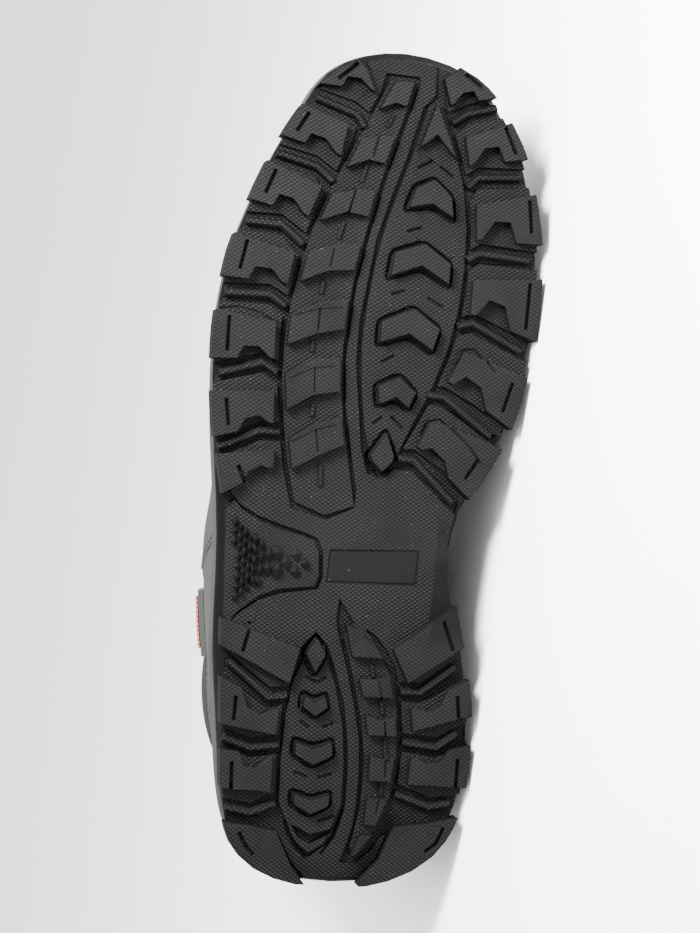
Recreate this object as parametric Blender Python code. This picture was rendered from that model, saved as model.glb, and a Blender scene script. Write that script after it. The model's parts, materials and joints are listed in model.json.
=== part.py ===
"""Hiking boot for the right foot, built as its maker assembles it.

Lengths are in millimetres inside the functions and become metres in place().
The boot is shaped standing: x points to the little toe side, y to the toe,
z up from the ground.  At the end it is laid on its big toe side, where the
sole edge and the upper both touch the floor.
"""
import math

import bmesh
import bpy
from mathutils import Matrix, Vector
from mathutils.bvhtree import BVHTree

MM = 0.001

# Driving sizes
LENGTH = 307.0           # sole, heel tip to toe tip
BALL = 119.0             # sole width across the ball
COLLAR = 180.0           # top of the upper over the ground
TOE_SPRING = 20.0        # rise of the tread at the toe tip
SPRING_FROM = 0.70       # share of the length where the spring starts
HEEL_BEVEL = 4.0         # rise of the tread at the heel tip
BEVEL_TO = 0.08          # share of the length where the bevel ends
LUG_DEPTH = 5.0          # tread face to groove floor
PAD_DEPTH = 3.5          # tread face to shelves, lane floors and waist
BLOCK_DEPTH = 0.5        # tread face to the inner blocks
ROOT = 0.8               # how far a raised form runs into the base
LUG_ROOT = 3.2           # the same for the edge lugs, which run up the wall
BAR_RADIUS = 1.7         # round bars in the channels
BAR_DROP = 3.9           # tread face to the axis of a bar
CHANNEL = 3.3            # bar axis to the shelf beside it
GROOVE = 0.75            # half of the groove between two floors
GAP = 0.3                # between pieces
JOINT_HEEL = 14.0        # outsole top over its tread face, heel
JOINT_TOE = 11.0         # outsole top over its tread face, toe
SOLE_HEEL = 34.0         # midsole top over the ground, heel
SOLE_BALL = 24.5         # midsole top over the tread face, ball
SOLE_TOE = 20.0          # midsole top over the tread face, toe
WALL_BULGE = 1.6         # how far the side wall stands out past the tread
HEEL_TUCK = 3.6          # how far the side wall draws in round the heel
FORE_TUCK = 3.8          # the same along the forefoot
CHANNEL_INSET = 2.4      # how far the wall steps in behind the lugs
FEATHER_INSET = 3.5      # tread outline to the foot of the upper
FEATHER_FORE = 6.0       # the same along the forefoot, under the tucked wall
WALL = 2.3               # upper
PADDING = 4.2            # extra wall under the collar
COLLAR_SWELL = 1.6       # how far the collar roll stands out
THROAT_LOW = 10.0        # half the throat opening at the vamp
THROAT_HIGH = 16.0       # half the throat opening at the collar
TONGUE_THICK = 4.0
TONGUE_LOW = 19.0        # half width
TONGUE_HIGH = 27.0       # half width
INSOLE_THICK = 4.0
INSOLE_INSET = 9.6       # tread outline to the insole edge
EYELET_PAIRS = 5
EYELET_FIRST = 1.1  # rows from the foot of the throat
EYELET_LAST = 1.7  # rows below the collar
EYELET_EDGE = 7.5        # throat edge to the eyelet axis
EYELET_BORE = 2.0        # radius
EYELET_FLANGE = 4.2      # radius
EYELET_RIM = 0.9         # thickness of the flange
EYELET_SIDES = 9
LACE_RADIUS = 1.7
LACE_LIFT = 1.1          # lace over the upper
TAB_LENGTH = 26.0
TAB_HEIGHT = 17.0
TAB_THICK = 2.2
TAB_MID = (87.5, 92.0)   # y and z of its middle
BAND_SHARE = 0.78        # band length and height as shares of the tab
BAND_THICK = 0.8
OUTLINE_STEPS = 34
SECTION_STEPS = 30
RIB_STEPS = 11
FAIR_TURNS = 14  # passes that ease the fold at the heel

# Tread outline: station, middle line, half width
# (shares of LENGTH, BALL, BALL)
OUTLINE = (
    (0.0000, 0.0126, 0.0000),
    (0.0081, 0.0303, 0.1571),
    (0.0261, 0.0286, 0.2563),
    (0.0521, 0.0218, 0.3235),
    (0.0879, 0.0118, 0.3630),
    (0.1303, 0.0076, 0.3824),
    (0.1759, 0.0092, 0.3882),
    (0.2182, 0.0160, 0.3891),
    (0.2541, 0.0261, 0.3857),
    (0.2932, 0.0420, 0.3765),
    (0.3355, 0.0580, 0.3647),
    (0.3746, 0.0731, 0.3529),
    (0.4039, 0.0790, 0.3513),
    (0.4397, 0.0765, 0.3622),
    (0.4723, 0.0655, 0.3882),
    (0.5049, 0.0487, 0.4235),
    (0.5537, 0.0319, 0.4639),
    (0.6156, 0.0193, 0.4891),
    (0.6645, 0.0076, 0.5000),
    (0.7362, -0.0067, 0.4899),
    (0.7818, -0.0218, 0.4681),
    (0.8371, -0.0370, 0.4294),
    (0.8827, -0.0504, 0.3866),
    (0.9251, -0.0580, 0.3294),
    (0.9625, -0.0672, 0.2563),
    (0.9853, -0.0723, 0.1723),
    (1.0000, -0.0672, 0.0000),
)

# Forefoot floors, toe to waist: station, then the four lines that part
# the lateral shelves, outer lane, rib, inner lane and medial shelves
# (shares of LENGTH, then BALL)
FORE_LINES = (
    (0.9609, 0.0000, -0.0924, -0.1429, -0.1681),
    (0.9283, 0.0445, -0.0655, -0.1134, -0.1832),
    (0.8958, 0.0924, -0.0361, -0.0908, -0.2118),
    (0.8632, 0.1319, -0.0076, -0.0613, -0.2361),
    (0.8143, 0.1933, 0.0286, -0.0168, -0.2605),
    (0.7655, 0.2403, 0.0571, 0.0210, -0.2630),
    (0.7166, 0.2681, 0.0832, 0.0378, -0.2597),
    (0.6678, 0.2899, 0.0941, 0.0546, -0.2437),
    (0.6189, 0.2975, 0.1008, 0.0546, -0.2084),
    (0.5700, 0.2882, 0.0908, 0.0370, -0.1580),
    (0.5212, 0.2689, 0.0672, 0.0210, -0.0924),
    (0.4886, 0.2538, 0.0479, -0.0084, -0.0672),
    (0.4300, 0.2118, 0.0168, -0.0252, -0.0504),
)

# Heel floors, front to back: station, lens lane left and right,
# crescent lane left and right (shares of LENGTH, then BALL)
HEEL_LINES = (
    (0.3192, 0.1227, 0.1227, 0.0588, 0.0420),
    (0.2997, 0.1252, 0.1202, 0.0454, -0.0546),
    (0.2801, 0.1639, 0.0807, 0.0311, -0.1008),
    (0.2606, 0.1807, 0.0655, 0.0134, -0.1277),
    (0.2345, 0.1958, 0.0395, -0.0059, -0.1454),
    (0.2085, 0.2050, 0.0193, -0.0252, -0.1538),
    (0.1824, 0.2092, 0.0109, -0.0395, -0.1630),
    (0.1564, 0.2109, 0.0025, -0.0487, -0.1630),
    (0.1303, 0.2101, 0.0000, -0.0479, -0.1555),
    (0.1042, 0.2092, -0.0008, -0.0462, -0.1496),
    (0.0847, 0.2034, 0.0059, -0.0437, -0.1286),
    (0.0651, 0.1765, 0.0218, -0.0345, -0.1059),
    (0.0456, 0.1345, 0.0571, -0.0202, -0.0731),
    (0.0358, 0.1092, 0.1008, -0.0042, -0.0504),
)

# Edge lugs: side, outer front y, outer rear y, inner front x and y,
# inner rear x and y, notch depth (rear edge, or front edge if negative)
LUGS = (
    ("lat", 0.9847, 0.9495, 0.0756, 0.9756, 0.0462, 0.9463, 0.0137),
    ("lat", 0.9218, 0.8811, 0.1303, 0.9023, 0.1513, 0.8625, 0.0143),
    ("lat", 0.8495, 0.8013, 0.2059, 0.8241, 0.2437, 0.7866, 0.0156),
    ("lat", 0.7606, 0.7085, 0.2773, 0.7427, 0.2941, 0.7046, 0.0156),
    ("lat", 0.6694, 0.6124, 0.3193, 0.6612, 0.3176, 0.6166, 0.0143),
    ("lat", 0.5749, 0.5212, 0.3092, 0.5798, 0.3059, 0.5420, 0.0130),
    ("lat", 0.5016, 0.4560, 0.2966, 0.5124, 0.2966, 0.4906, 0.0098),
    ("med", 0.9889, 0.9544, -0.1731, 0.9723, -0.1916, 0.9391, 0.0130),
    ("med", 0.9251, 0.8811, -0.2395, 0.9007, -0.2521, 0.8658, 0.0195),
    ("med", 0.8388, 0.7785, -0.2773, 0.8192, -0.2824, 0.7762, 0.0244),
    ("med", 0.7371, 0.6622, -0.2790, 0.7296, -0.2773, 0.6873, 0.0261),
    ("med", 0.6189, 0.5554, -0.2563, 0.6450, -0.2227, 0.6059, 0.0212),
    ("med", 0.5322, 0.4691, -0.1807, 0.5612, -0.1412, 0.5270, 0.0147),
    ("lat", 0.3127, 0.2801, 0.1731, 0.2818, 0.1983, 0.2394, 0.0000),
    ("lat", 0.2443, 0.1889, 0.2235, 0.2094, 0.2286, 0.1792, -0.0179),
    ("lat", 0.1596, 0.1140, 0.2319, 0.1554, 0.2311, 0.1121, -0.0163),
    ("med", 0.3420, 0.2945, -0.1134, 0.2873, -0.1664, 0.2482, 0.0000),
    ("med", 0.2557, 0.2134, -0.1815, 0.2189, -0.1941, 0.1912, -0.0147),
    ("med", 0.1785, 0.1277, -0.1941, 0.1606, -0.1891, 0.1283, -0.0114),
)

# Channel bars: side, outer x and y, bend x and y, inner x and y
BARS = (
    ("lat", 0.2269, 0.9332, 0.1008, 0.9169, 0.0756, 0.9016),
    ("lat", 0.3445, 0.8599, 0.2227, 0.8489, 0.1681, 0.8316),
    ("lat", 0.4286, 0.7762, 0.3193, 0.7752, 0.2521, 0.7541),
    ("lat", 0.4790, 0.6906, 0.3445, 0.6922, 0.2908, 0.6801),
    ("lat", 0.4790, 0.5961, 0.3487, 0.6124, 0.3025, 0.6020),
    ("lat", 0.4664, 0.5098, 0.3403, 0.5326, 0.2798, 0.5326),
    ("med", -0.3445, 0.9430, -0.2521, 0.9316, -0.2017, 0.9179),
    ("med", -0.4202, 0.8586, -0.2857, 0.8534, -0.2521, 0.8404),
    ("med", -0.4580, 0.7590, -0.2983, 0.7622, -0.2605, 0.7531),
    ("med", -0.4496, 0.6498, -0.2899, 0.6792, -0.2437, 0.6733),
    ("med", -0.3739, 0.5459, -0.2185, 0.5886, -0.1639, 0.5896),
    ("med", -0.2689, 0.4645, -0.1370, 0.5114, -0.0882, 0.5121),
    ("lat", 0.3866, 0.2622, 0.2546, 0.2215, 0.1983, 0.2254),
    ("lat", 0.3866, 0.1726, 0.3017, 0.1616, 0.2118, 0.1671),
    ("lat", 0.3630, 0.0912, 0.2866, 0.0857, 0.2101, 0.0987),
    ("med", -0.3160, 0.2697, -0.2118, 0.2368, -0.1496, 0.2368),
    ("med", -0.3361, 0.1915, -0.2756, 0.1730, -0.1664, 0.1772),
    ("med", -0.3303, 0.1078, -0.2647, 0.1020, -0.1563, 0.1160),
)

# Inner blocks: lane, front middle y, rear middle y, how far the front
# middle leads its lateral and medial ends, the same for the rear, and
# the margin to the lane line (shares of LENGTH, the margin of BALL)
BLOCKS = (
    ("outer", 0.9642, 0.9349, 0.0033, 0.0016, 0.0098, 0.0033, 0.0101),
    ("outer", 0.8925, 0.8616, 0.0065, -0.0016, 0.0114, 0.0033, 0.0109),
    ("outer", 0.8257, 0.7964, 0.0081, 0.0000, 0.0130, 0.0033, 0.0109),
    ("outer", 0.7573, 0.7248, 0.0114, -0.0033, 0.0147, -0.0033, 0.0101),
    ("outer", 0.6889, 0.6498, 0.0179, -0.0049, 0.0147, -0.0081, 0.0084),
    ("outer", 0.6205, 0.5782, 0.0195, -0.0049, 0.0195, -0.0065, 0.0084),
    ("outer", 0.5456, 0.5081, 0.0212, -0.0098, 0.0179, -0.0147, 0.0092),
    ("inner", 0.9397, 0.9007, 0.0554, 0.0635, 0.0179, 0.0277, 0.0118),
    ("inner", 0.8453, 0.8160, 0.0114, 0.0195, 0.0065, 0.0147, 0.0487),
    ("inner", 0.7671, 0.7410, 0.0130, 0.0212, 0.0147, 0.0195, 0.0504),
    ("inner", 0.6889, 0.6596, 0.0179, 0.0212, 0.0130, 0.0179, 0.0521),
    ("inner", 0.6078, 0.5837, 0.0127, 0.0173, 0.0091, 0.0117, 0.0479),
    ("inner", 0.5394, 0.4948, 0.0261, 0.0261, -0.0114, -0.0114, 0.0076),
    ("lens", 0.2941, 0.2541, 0.0147, 0.0147, -0.0212, -0.0212, 0.0101),
    ("lens", 0.2192, 0.2033, -0.0075, -0.0075, -0.0107, -0.0107, 0.0454),
    ("lens", 0.1648, 0.1459, -0.0072, -0.0085, -0.0114, -0.0127, 0.0403),
    ("lens", 0.1042, 0.0879, -0.0072, -0.0072, -0.0114, -0.0114, 0.0437),
    ("crescent", 0.3143, 0.2752, 0.0098, 0.0098, 0.0000, 0.0000, 0.0109),
    ("crescent", 0.2502, 0.2287, 0.0000, -0.0052, 0.0000, 0.0000, 0.0151),
    ("crescent", 0.2029, 0.1844, -0.0059, -0.0046, 0.0000, 0.0000, 0.0109),
    ("crescent", 0.1570, 0.1303, -0.0039, -0.0039, 0.0000, 0.0000, 0.0134),
    ("crescent", 0.1107, 0.0782, 0.0000, 0.0000, 0.0000, 0.0000, 0.0151),
    ("crescent", 0.0661, 0.0407, 0.0000, 0.0000, 0.0000, 0.0000, 0.0118),
)

# Upper sections, toe to above the collar: name, foot y, rise of the foot
# up the heel back, top y, top z, ridge x, swell past the foot, half width
# (used behind the instep), share of the way down where it is widest,
# fullness
SECTIONS = (
    ("tip", 0.9886, 0.0000, 0.9876, 0.2250, -0.0672, 0.0000, 0.4202, 0.70, 0.80),
    ("toe_front", 0.9811, 0.0000, 0.9788, 0.2778, -0.0672, 0.0252, 0.4202, 0.70, 0.78),
    ("toe_curl", 0.9642, 0.0000, 0.9577, 0.3333, -0.0672, 0.0378, 0.4202, 0.70, 0.76),
    ("toe_box", 0.9349, 0.0000, 0.9218, 0.3750, -0.0630, 0.0462, 0.4202, 0.70, 0.76),
    ("toe_top", 0.8925, 0.0000, 0.8697, 0.4000, -0.0588, 0.0504, 0.4202, 0.70, 0.76),
    ("toe_seam", 0.8371, 0.0000, 0.8078, 0.4167, -0.0529, 0.0504, 0.4202, 0.70, 0.78),
    ("ball_front", 0.7752, 0.0000, 0.7459, 0.4367, -0.0471, 0.0504, 0.4202, 0.70, 0.82),
    ("ball", 0.7101, 0.0000, 0.6840, 0.4667, -0.0420, 0.0504, 0.4202, 0.70, 0.86),
    ("waist_front", 0.6384, 0.0000, 0.6287, 0.5072, -0.0370, 0.0588, 0.4202, 0.69, 0.89),
    ("instep_low", 0.5668, 0.0000, 0.5814, 0.5528, -0.0319, 0.0798, 0.4202, 0.68, 0.90),
    ("instep", 0.4951, 0.0000, 0.5423, 0.6028, -0.0269, 0.1092, 0.3992, 0.67, 0.90),
    ("instep_high", 0.4235, 0.0000, 0.5107, 0.6556, -0.0218, 0.1387, 0.3916, 0.66, 0.89),
    ("waist_rear", 0.3518, 0.0000, 0.4863, 0.7083, -0.0193, 0.1387, 0.4286, 0.64, 0.88),
    ("ankle_front", 0.2801, 0.0000, 0.4674, 0.7583, -0.0168, 0.1303, 0.4252, 0.62, 0.87),
    ("ankle", 0.2085, 0.0000, 0.4534, 0.8056, -0.0202, 0.1218, 0.3983, 0.60, 0.86),
    ("heel_seat", 0.1368, 0.0000, 0.4430, 0.8472, -0.0252, 0.1345, 0.3815, 0.58, 0.85),
    ("heel_side", 0.0684, 0.0000, 0.4358, 0.8822, -0.0311, 0.2017, 0.3765, 0.56, 0.84),
    ("heel_corner", 0.0277, 0.0000, 0.4313, 0.9100, -0.0370, 0.2899, 0.3689, 0.55, 0.84),
    ("heel_back", 0.0114, 0.0000, 0.4280, 0.9317, -0.0420, 0.3681, 0.3597, 0.54, 0.84),
    ("heel_curve", 0.0039, 0.1111, 0.4261, 0.9489, -0.0462, 0.3639, 0.3479, 0.53, 0.84),
    ("achilles_low", 0.0137, 0.2556, 0.4248, 0.9628, -0.0496, 0.3546, 0.3328, 0.52, 0.84),
    ("achilles", 0.0319, 0.4111, 0.4238, 0.9756, -0.0563, 0.3445, 0.3109, 0.51, 0.84),
    ("shaft", 0.0443, 0.5667, 0.4231, 0.9878, -0.0605, 0.3378, 0.2908, 0.50, 0.84),
    ("collar", 0.0472, 0.7278, 0.4225, 1.0000, -0.0630, 0.3361, 0.2773, 0.50, 0.84),
    ("above", 0.0482, 0.8056, 0.4195, 1.0722, -0.0630, 0.3361, 0.2773, 0.50, 0.84),
)
ROW = {row[0]: index for index, row in enumerate(SECTIONS)}
THROAT_ROW = float(ROW["ball"])
HEEL_ROW = float(ROW["heel_back"])
COLLAR_ROW = float(ROW["collar"])
TOP_ROW = float(ROW["above"])


class Curve:
    """Smooth line through rows of (x, y) that never overshoots them."""

    def __init__(self, xs, ys):
        self.xs = list(xs)
        self.ys = list(ys)
        gaps = [b - a for a, b in zip(self.xs, self.xs[1:])]
        rise = [(b - a) / g for a, b, g in zip(self.ys, self.ys[1:], gaps)]
        self.slopes = [rise[0]]
        for left, right, before, after in zip(rise, rise[1:], gaps, gaps[1:]):
            if left * right <= 0.0:
                self.slopes.append(0.0)
            else:
                near = 2.0 * after + before
                far = after + 2.0 * before
                self.slopes.append((near + far) / (near / left + far / right))
        self.slopes.append(rise[-1])

    def at(self, x):
        xs = self.xs
        if x <= xs[0]:
            return self.ys[0] + (x - xs[0]) * self.slopes[0]
        if x >= xs[-1]:
            return self.ys[-1] + (x - xs[-1]) * self.slopes[-1]
        low = 0
        high = len(xs) - 1
        while high - low > 1:
            middle = (low + high) // 2
            if xs[middle] <= x:
                low = middle
            else:
                high = middle
        gap = xs[high] - xs[low]
        t = (x - xs[low]) / gap
        a = (1.0 + 2.0 * t) * (1.0 - t) ** 2 * self.ys[low]
        b = t * (1.0 - t) ** 2 * gap * self.slopes[low]
        c = t * t * (3.0 - 2.0 * t) * self.ys[high]
        d = t * t * (t - 1.0) * gap * self.slopes[high]
        return a + b + c + d


def clamp(value, low=0.0, high=1.0):
    return max(low, min(high, value))


def smooth(low, high, value):
    t = clamp((value - low) / (high - low))
    return t * t * (3.0 - 2.0 * t)


def sweep_angle(share):
    return math.acos(clamp(1.0 - 2.0 * share, -1.0, 1.0))


MIDDLE = Curve([sweep_angle(r[0]) for r in OUTLINE], [r[1] * BALL for r in OUTLINE])
HALF = Curve([sweep_angle(r[0]) for r in OUTLINE], [r[2] * BALL for r in OUTLINE])


def tread_z(y):
    """Height of the tread face: flat, with toe spring and heel bevel."""
    share = y / LENGTH
    front = clamp((share - SPRING_FROM) / (1.0 - SPRING_FROM))
    back = clamp((BEVEL_TO - share) / BEVEL_TO)
    return TOE_SPRING * front ** 2 + HEEL_BEVEL * back ** 2


def joint_z(y):
    share = clamp(y / LENGTH)
    flat = TOE_SPRING * clamp((share - SPRING_FROM) / (1.0 - SPRING_FROM)) ** 2
    return flat + JOINT_HEEL + (JOINT_TOE - JOINT_HEEL) * smooth(0.25, 0.6, share)


SOLE_TOP = Curve((0.0, 0.22, 0.42, 0.62, 0.80, 1.0),
                 (SOLE_HEEL, SOLE_HEEL - 0.8, SOLE_HEEL - 5.5, SOLE_BALL, SOLE_BALL - 1.6, SOLE_TOE))


def sole_z(y):
    share = clamp(y / LENGTH)
    flat = TOE_SPRING * clamp((share - SPRING_FROM) / (1.0 - SPRING_FROM)) ** 2
    return flat + SOLE_TOP.at(share)


def edge(y, side, inset=0.0):
    """x of the sole outline at y, set in by a share of the ball width."""
    shrink = 1.0 - inset / (BALL / 2.0)
    share = clamp((y - inset) / (LENGTH - 2.0 * inset))
    angle = sweep_angle(share)
    return MIDDLE.at(angle) + side * HALF.at(angle) * shrink


def half_width(y, inset):
    shrink = 1.0 - inset / (BALL / 2.0)
    share = clamp((y - inset) / (LENGTH - 2.0 * inset))
    return HALF.at(sweep_angle(share)) * shrink


def tucked(inset, share=1.0):
    """Inset of a side wall that draws in behind the lugs of heel and forefoot."""
    def at(y):
        along = y / LENGTH
        heel = HEEL_TUCK * (1.0 - smooth(0.06, 0.30, along))
        fore = FORE_TUCK * smooth(0.42, 0.58, along) * (1.0 - smooth(0.90, 0.985, along))
        return inset + share * (heel + fore)
    return at


def ring(base, height, steps=OUTLINE_STEPS):
    """Closed outline, heel tip first, out along the lateral side."""
    points = []
    for side, order in ((1, range(0, steps + 1)), (-1, range(steps - 1, 0, -1))):
        for k in order:
            angle = math.pi * k / steps
            along = (1.0 - math.cos(angle)) / 2.0
            inset = base(along * LENGTH) if callable(base) else base
            shrink = 1.0 - inset / (BALL / 2.0)
            y = inset + (LENGTH - 2.0 * inset) * along
            x = MIDDLE.at(angle) + side * HALF.at(angle) * shrink
            points.append(Vector((x, y, height(y))))
    return points


# Objects

def collection(name, hidden=False):
    group = bpy.data.collections.new(name)
    bpy.context.scene.collection.children.link(group)
    group.hide_render = hidden
    return group


def material(name, colour, rough, metal=0.0):
    paint = bpy.data.materials.new(name)
    paint.use_nodes = True
    shader = paint.node_tree.nodes["Principled BSDF"]
    shader.inputs["Base Color"].default_value = (colour[0], colour[1], colour[2], 1.0)
    shader.inputs["Roughness"].default_value = rough
    shader.inputs["Metallic"].default_value = metal
    return paint


def place(name, points, faces, group, paint=None):
    """Closed mesh in metres with its faces turned outward."""
    mesh = bpy.data.meshes.new(name)
    mesh.from_pydata([tuple(p * MM for p in point) for point in points], [], faces)
    work = bmesh.new()
    work.from_mesh(mesh)
    bmesh.ops.recalc_face_normals(work, faces=work.faces)
    bmesh.ops.triangulate(work, faces=[f for f in work.faces if len(f.verts) > 4])
    work.to_mesh(mesh)
    work.free()
    item = bpy.data.objects.new(name, mesh)
    group.objects.link(item)
    if paint:
        mesh.materials.append(paint)
    return item


def merge(target, tool, operation):
    """Boolean with the tool, which stays in the hidden group."""
    step = target.modifiers.new(operation.lower(), "BOOLEAN")
    step.operation = operation
    step.solver = "EXACT"
    step.use_self = operation == "UNION"
    step.object = tool
    graph = bpy.context.evaluated_depsgraph_get()
    mesh = bpy.data.meshes.new_from_object(target.evaluated_get(graph))
    old = target.data
    target.modifiers.clear()
    target.data = mesh
    bpy.data.meshes.remove(old)
    tool.hide_render = True
    tool.display_type = "WIRE"


def loft(rings, caps):
    """Points and faces of stacked rings, closed by strips across."""
    count = len(rings[0])
    points = [p for line in rings for p in line]
    faces = []
    for level in range(len(rings) - 1):
        for k in range(count):
            nxt = (k + 1) % count
            a = level * count
            b = a + count
            faces.append((a + k, a + nxt, b + nxt, b + k))
    if caps:
        for base in (0, (len(rings) - 1) * count):
            half = count // 2
            faces.append((base, base + 1, base + count - 1))
            for k in range(1, half - 1):
                faces.append((base + k, base + k + 1, base + count - k - 1, base + count - k))
            faces.append((base + half - 1, base + half, base + half + 1))
    return points, faces


def prism(outline, depth, root=ROOT):
    """Raised form from the base to depth under the tread face."""
    count = len(outline)
    low = [Vector((x, y, tread_z(y) + depth)) for x, y in outline]
    high = [Vector((x, y, tread_z(y) + LUG_DEPTH + root)) for x, y in outline]
    faces = [tuple(range(count)), tuple(range(2 * count - 1, count - 1, -1))]
    for k in range(count):
        nxt = (k + 1) % count
        faces.append((k, nxt, nxt + count, k + count))
    return low + high, faces


def gather(pieces):
    """One list of points and faces out of several separate forms."""
    points = []
    faces = []
    for part_points, part_faces in pieces:
        base = len(points)
        points.extend(part_points)
        faces.extend(tuple(i + base for i in face) for face in part_faces)
    return points, faces


# Tread

def side_of(name):
    return 1 if name == "lat" else -1


def line_x(table, column, y):
    """x of a floor line at y, straight between its stations."""
    rows = [(row[0] * LENGTH, row[column] * BALL) for row in table]
    if y >= rows[0][0]:
        return rows[0][1]
    for (y0, x0), (y1, x1) in zip(rows, rows[1:]):
        if y >= y1:
            return x1 + (x0 - x1) * (y - y1) / (y0 - y1)
    return rows[-1][1]


def stations(table, low, high, step=15.0):
    """y values from low to high, evenly spread."""
    count = max(1, round((high - low) / step))
    return [low + (high - low) * k / count for k in range(count + 1)]


def lug_outline(row):
    """Polygon of an edge lug with the notch in its rear or front edge."""
    side = side_of(row[0])
    out_front = row[1] * LENGTH
    out_rear = row[2] * LENGTH
    in_front = (row[3] * BALL, row[4] * LENGTH)
    in_rear = (row[5] * BALL, row[6] * LENGTH)
    depth = row[7] * LENGTH
    outer = []
    for k in range(4):
        y = out_front + (out_rear - out_front) * k / 3.0
        outer.append((edge(y, side), y))
    rear = notched(outer[-1], in_rear, max(depth, 0.0))
    front = notched(in_front, outer[0], min(depth, 0.0), True)
    return outer + rear + [in_rear, in_front] + front


def notched(start, end, depth, flip=False):
    """Points of the notch between two corners, outer end first."""
    if depth == 0.0:
        return []
    shares = ((0.60, 0.0), (0.50, 1.0), (0.26, 1.0), (0.08, 0.1))
    if flip:
        shares = ((0.08, 0.1), (0.30, 1.0), (0.52, 1.0), (0.64, 0.0))
    points = []
    for along, deep in shares:
        t = 1.0 - along if not flip else along
        x = start[0] + (end[0] - start[0]) * t
        y = start[1] + (end[1] - start[1]) * t
        points.append((x, y + depth * deep))
    return points


def bar_line(row):
    return [(row[k] * BALL, row[k + 1] * LENGTH) for k in (1, 3, 5)]


def bar_shift(row, distance):
    """Bar axis moved along y so that it clears the bar by distance."""
    line = bar_line(row)
    moved = []
    for k, (x, y) in enumerate(line):
        steep = []
        if k:
            steep.append(line[k - 1])
        if k < 2:
            steep.append(line[k + 1])
        stretch = 0.0
        for other in steep:
            run = max(abs(other[0] - x), 0.5)
            stretch += math.hypot(run, other[1] - y) / run / len(steep)
        moved.append((x, y + distance * min(stretch, 1.8)))
    return moved


def shelf(front_bar, rear_bar, side, inner, front_y=None, rear_y=None):
    """Floor between two channels, from the lane groove to the outline."""
    outline = []
    if front_bar:
        front = bar_shift(front_bar, -CHANNEL)
        y = front[0][1]
        outline.append((edge(y, side, 1.4), y))
        outline.append(front[1])
        y_in = front[2][1]
    else:
        y_in = front_y
        outline.append((edge(front_y, side, 1.4), front_y))
    if rear_bar:
        rear = bar_shift(rear_bar, CHANNEL)
        y_low = rear[2][1]
    else:
        y_low = rear_y
    outline.append((inner(y_in), y_in))
    for y in stations(None, y_in, y_low, 9.0)[1:-1] if y_in < y_low else \
            reversed(stations(None, y_low, y_in, 9.0)[1:-1]):
        outline.append((inner(y), y))
    outline.append((inner(y_low), y_low))
    if rear_bar:
        outline.append(rear[1])
        y = rear[0][1]
        outline.append((edge(y, side, 1.4), y))
    else:
        outline.append((edge(rear_y, side, 1.4), rear_y))
    start_y = outline[0][1]
    end_y = outline[-1][1]
    for k in (1, 2):
        y = end_y + (start_y - end_y) * k / 3.0
        outline.append((edge(y, side, 1.4), y))
    return outline


def lane(table, left, right, low, high, grow=0.0, bottom=0.0, top=0.0):
    """Floor between two lines of a table, from low to high."""
    ys = stations(table, low, high)
    right_side = [(line_x(table, right, y) + GROOVE + grow, y) for y in ys]
    left_side = [(line_x(table, left, y) - GROOVE - grow, y) for y in reversed(ys)]
    outline = right_side
    if top:
        outline = outline + [((right_side[-1][0] + left_side[0][0]) / 2.0, high + top)]
    outline = outline + left_side
    if bottom:
        outline = outline + [((right_side[0][0] + left_side[-1][0]) / 2.0, low + bottom)]
    return outline


LANES = {
    "outer": (FORE_LINES, 1, 2),
    "inner": (FORE_LINES, 3, 4),
    "lens": (HEEL_LINES, 1, 2),
    "crescent": (HEEL_LINES, 3, 4),
}

def block_outline(row):
    """Chevron block across a lane."""
    table, left, right = LANES[row[0]]
    front = row[1] * LENGTH
    rear = row[2] * LENGTH
    lead = (row[3] * LENGTH, row[4] * LENGTH)
    trail = (row[5] * LENGTH, row[6] * LENGTH)
    margin = GROOVE + row[7] * BALL

    def spot(share, y):
        low = line_x(table, right, y) + margin
        high = line_x(table, left, y) - margin
        if high < low + 1.0:
            low, high = (low + high) / 2.0 - 0.5, (low + high) / 2.0 + 0.5
        return (low + (high - low) * share, y)

    return [spot(0.0, front - lead[1]), spot(0.5, front), spot(1.0, front - lead[0]),
            spot(1.0, rear - trail[0]), spot(0.5, rear), spot(0.0, rear - trail[1])]


def bar_form(row):
    """Round bar lying in its channel, bent once."""
    line = bar_line(row)
    sides = 8
    points = []
    for k, (x, y) in enumerate(line):
        before = line[max(k - 1, 0)]
        after = line[min(k + 1, 2)]
        run = Vector((after[0] - before[0], after[1] - before[1]))
        run.normalize()
        across = Vector((-run.y, run.x))
        bend = 1.0
        if k == 1:
            first = Vector((x - before[0], y - before[1])).normalized()
            bend = 1.0 / max(0.6, first.dot(run))
        for j in range(sides):
            turn = 2.0 * math.pi * (j + 0.5) / sides
            out = BAR_RADIUS * math.cos(turn) * bend
            up = BAR_RADIUS * math.sin(turn)
            points.append(Vector((x + across.x * out, y + across.y * out, tread_z(y) + BAR_DROP + up)))
    faces = [tuple(range(sides)), tuple(range(3 * sides - 1, 2 * sides - 1, -1))]
    for k in range(2):
        for j in range(sides):
            nxt = (j + 1) % sides
            a = k * sides
            b = a + sides
            faces.append((a + j, a + nxt, b + nxt, b + j))
    return points, faces


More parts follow.
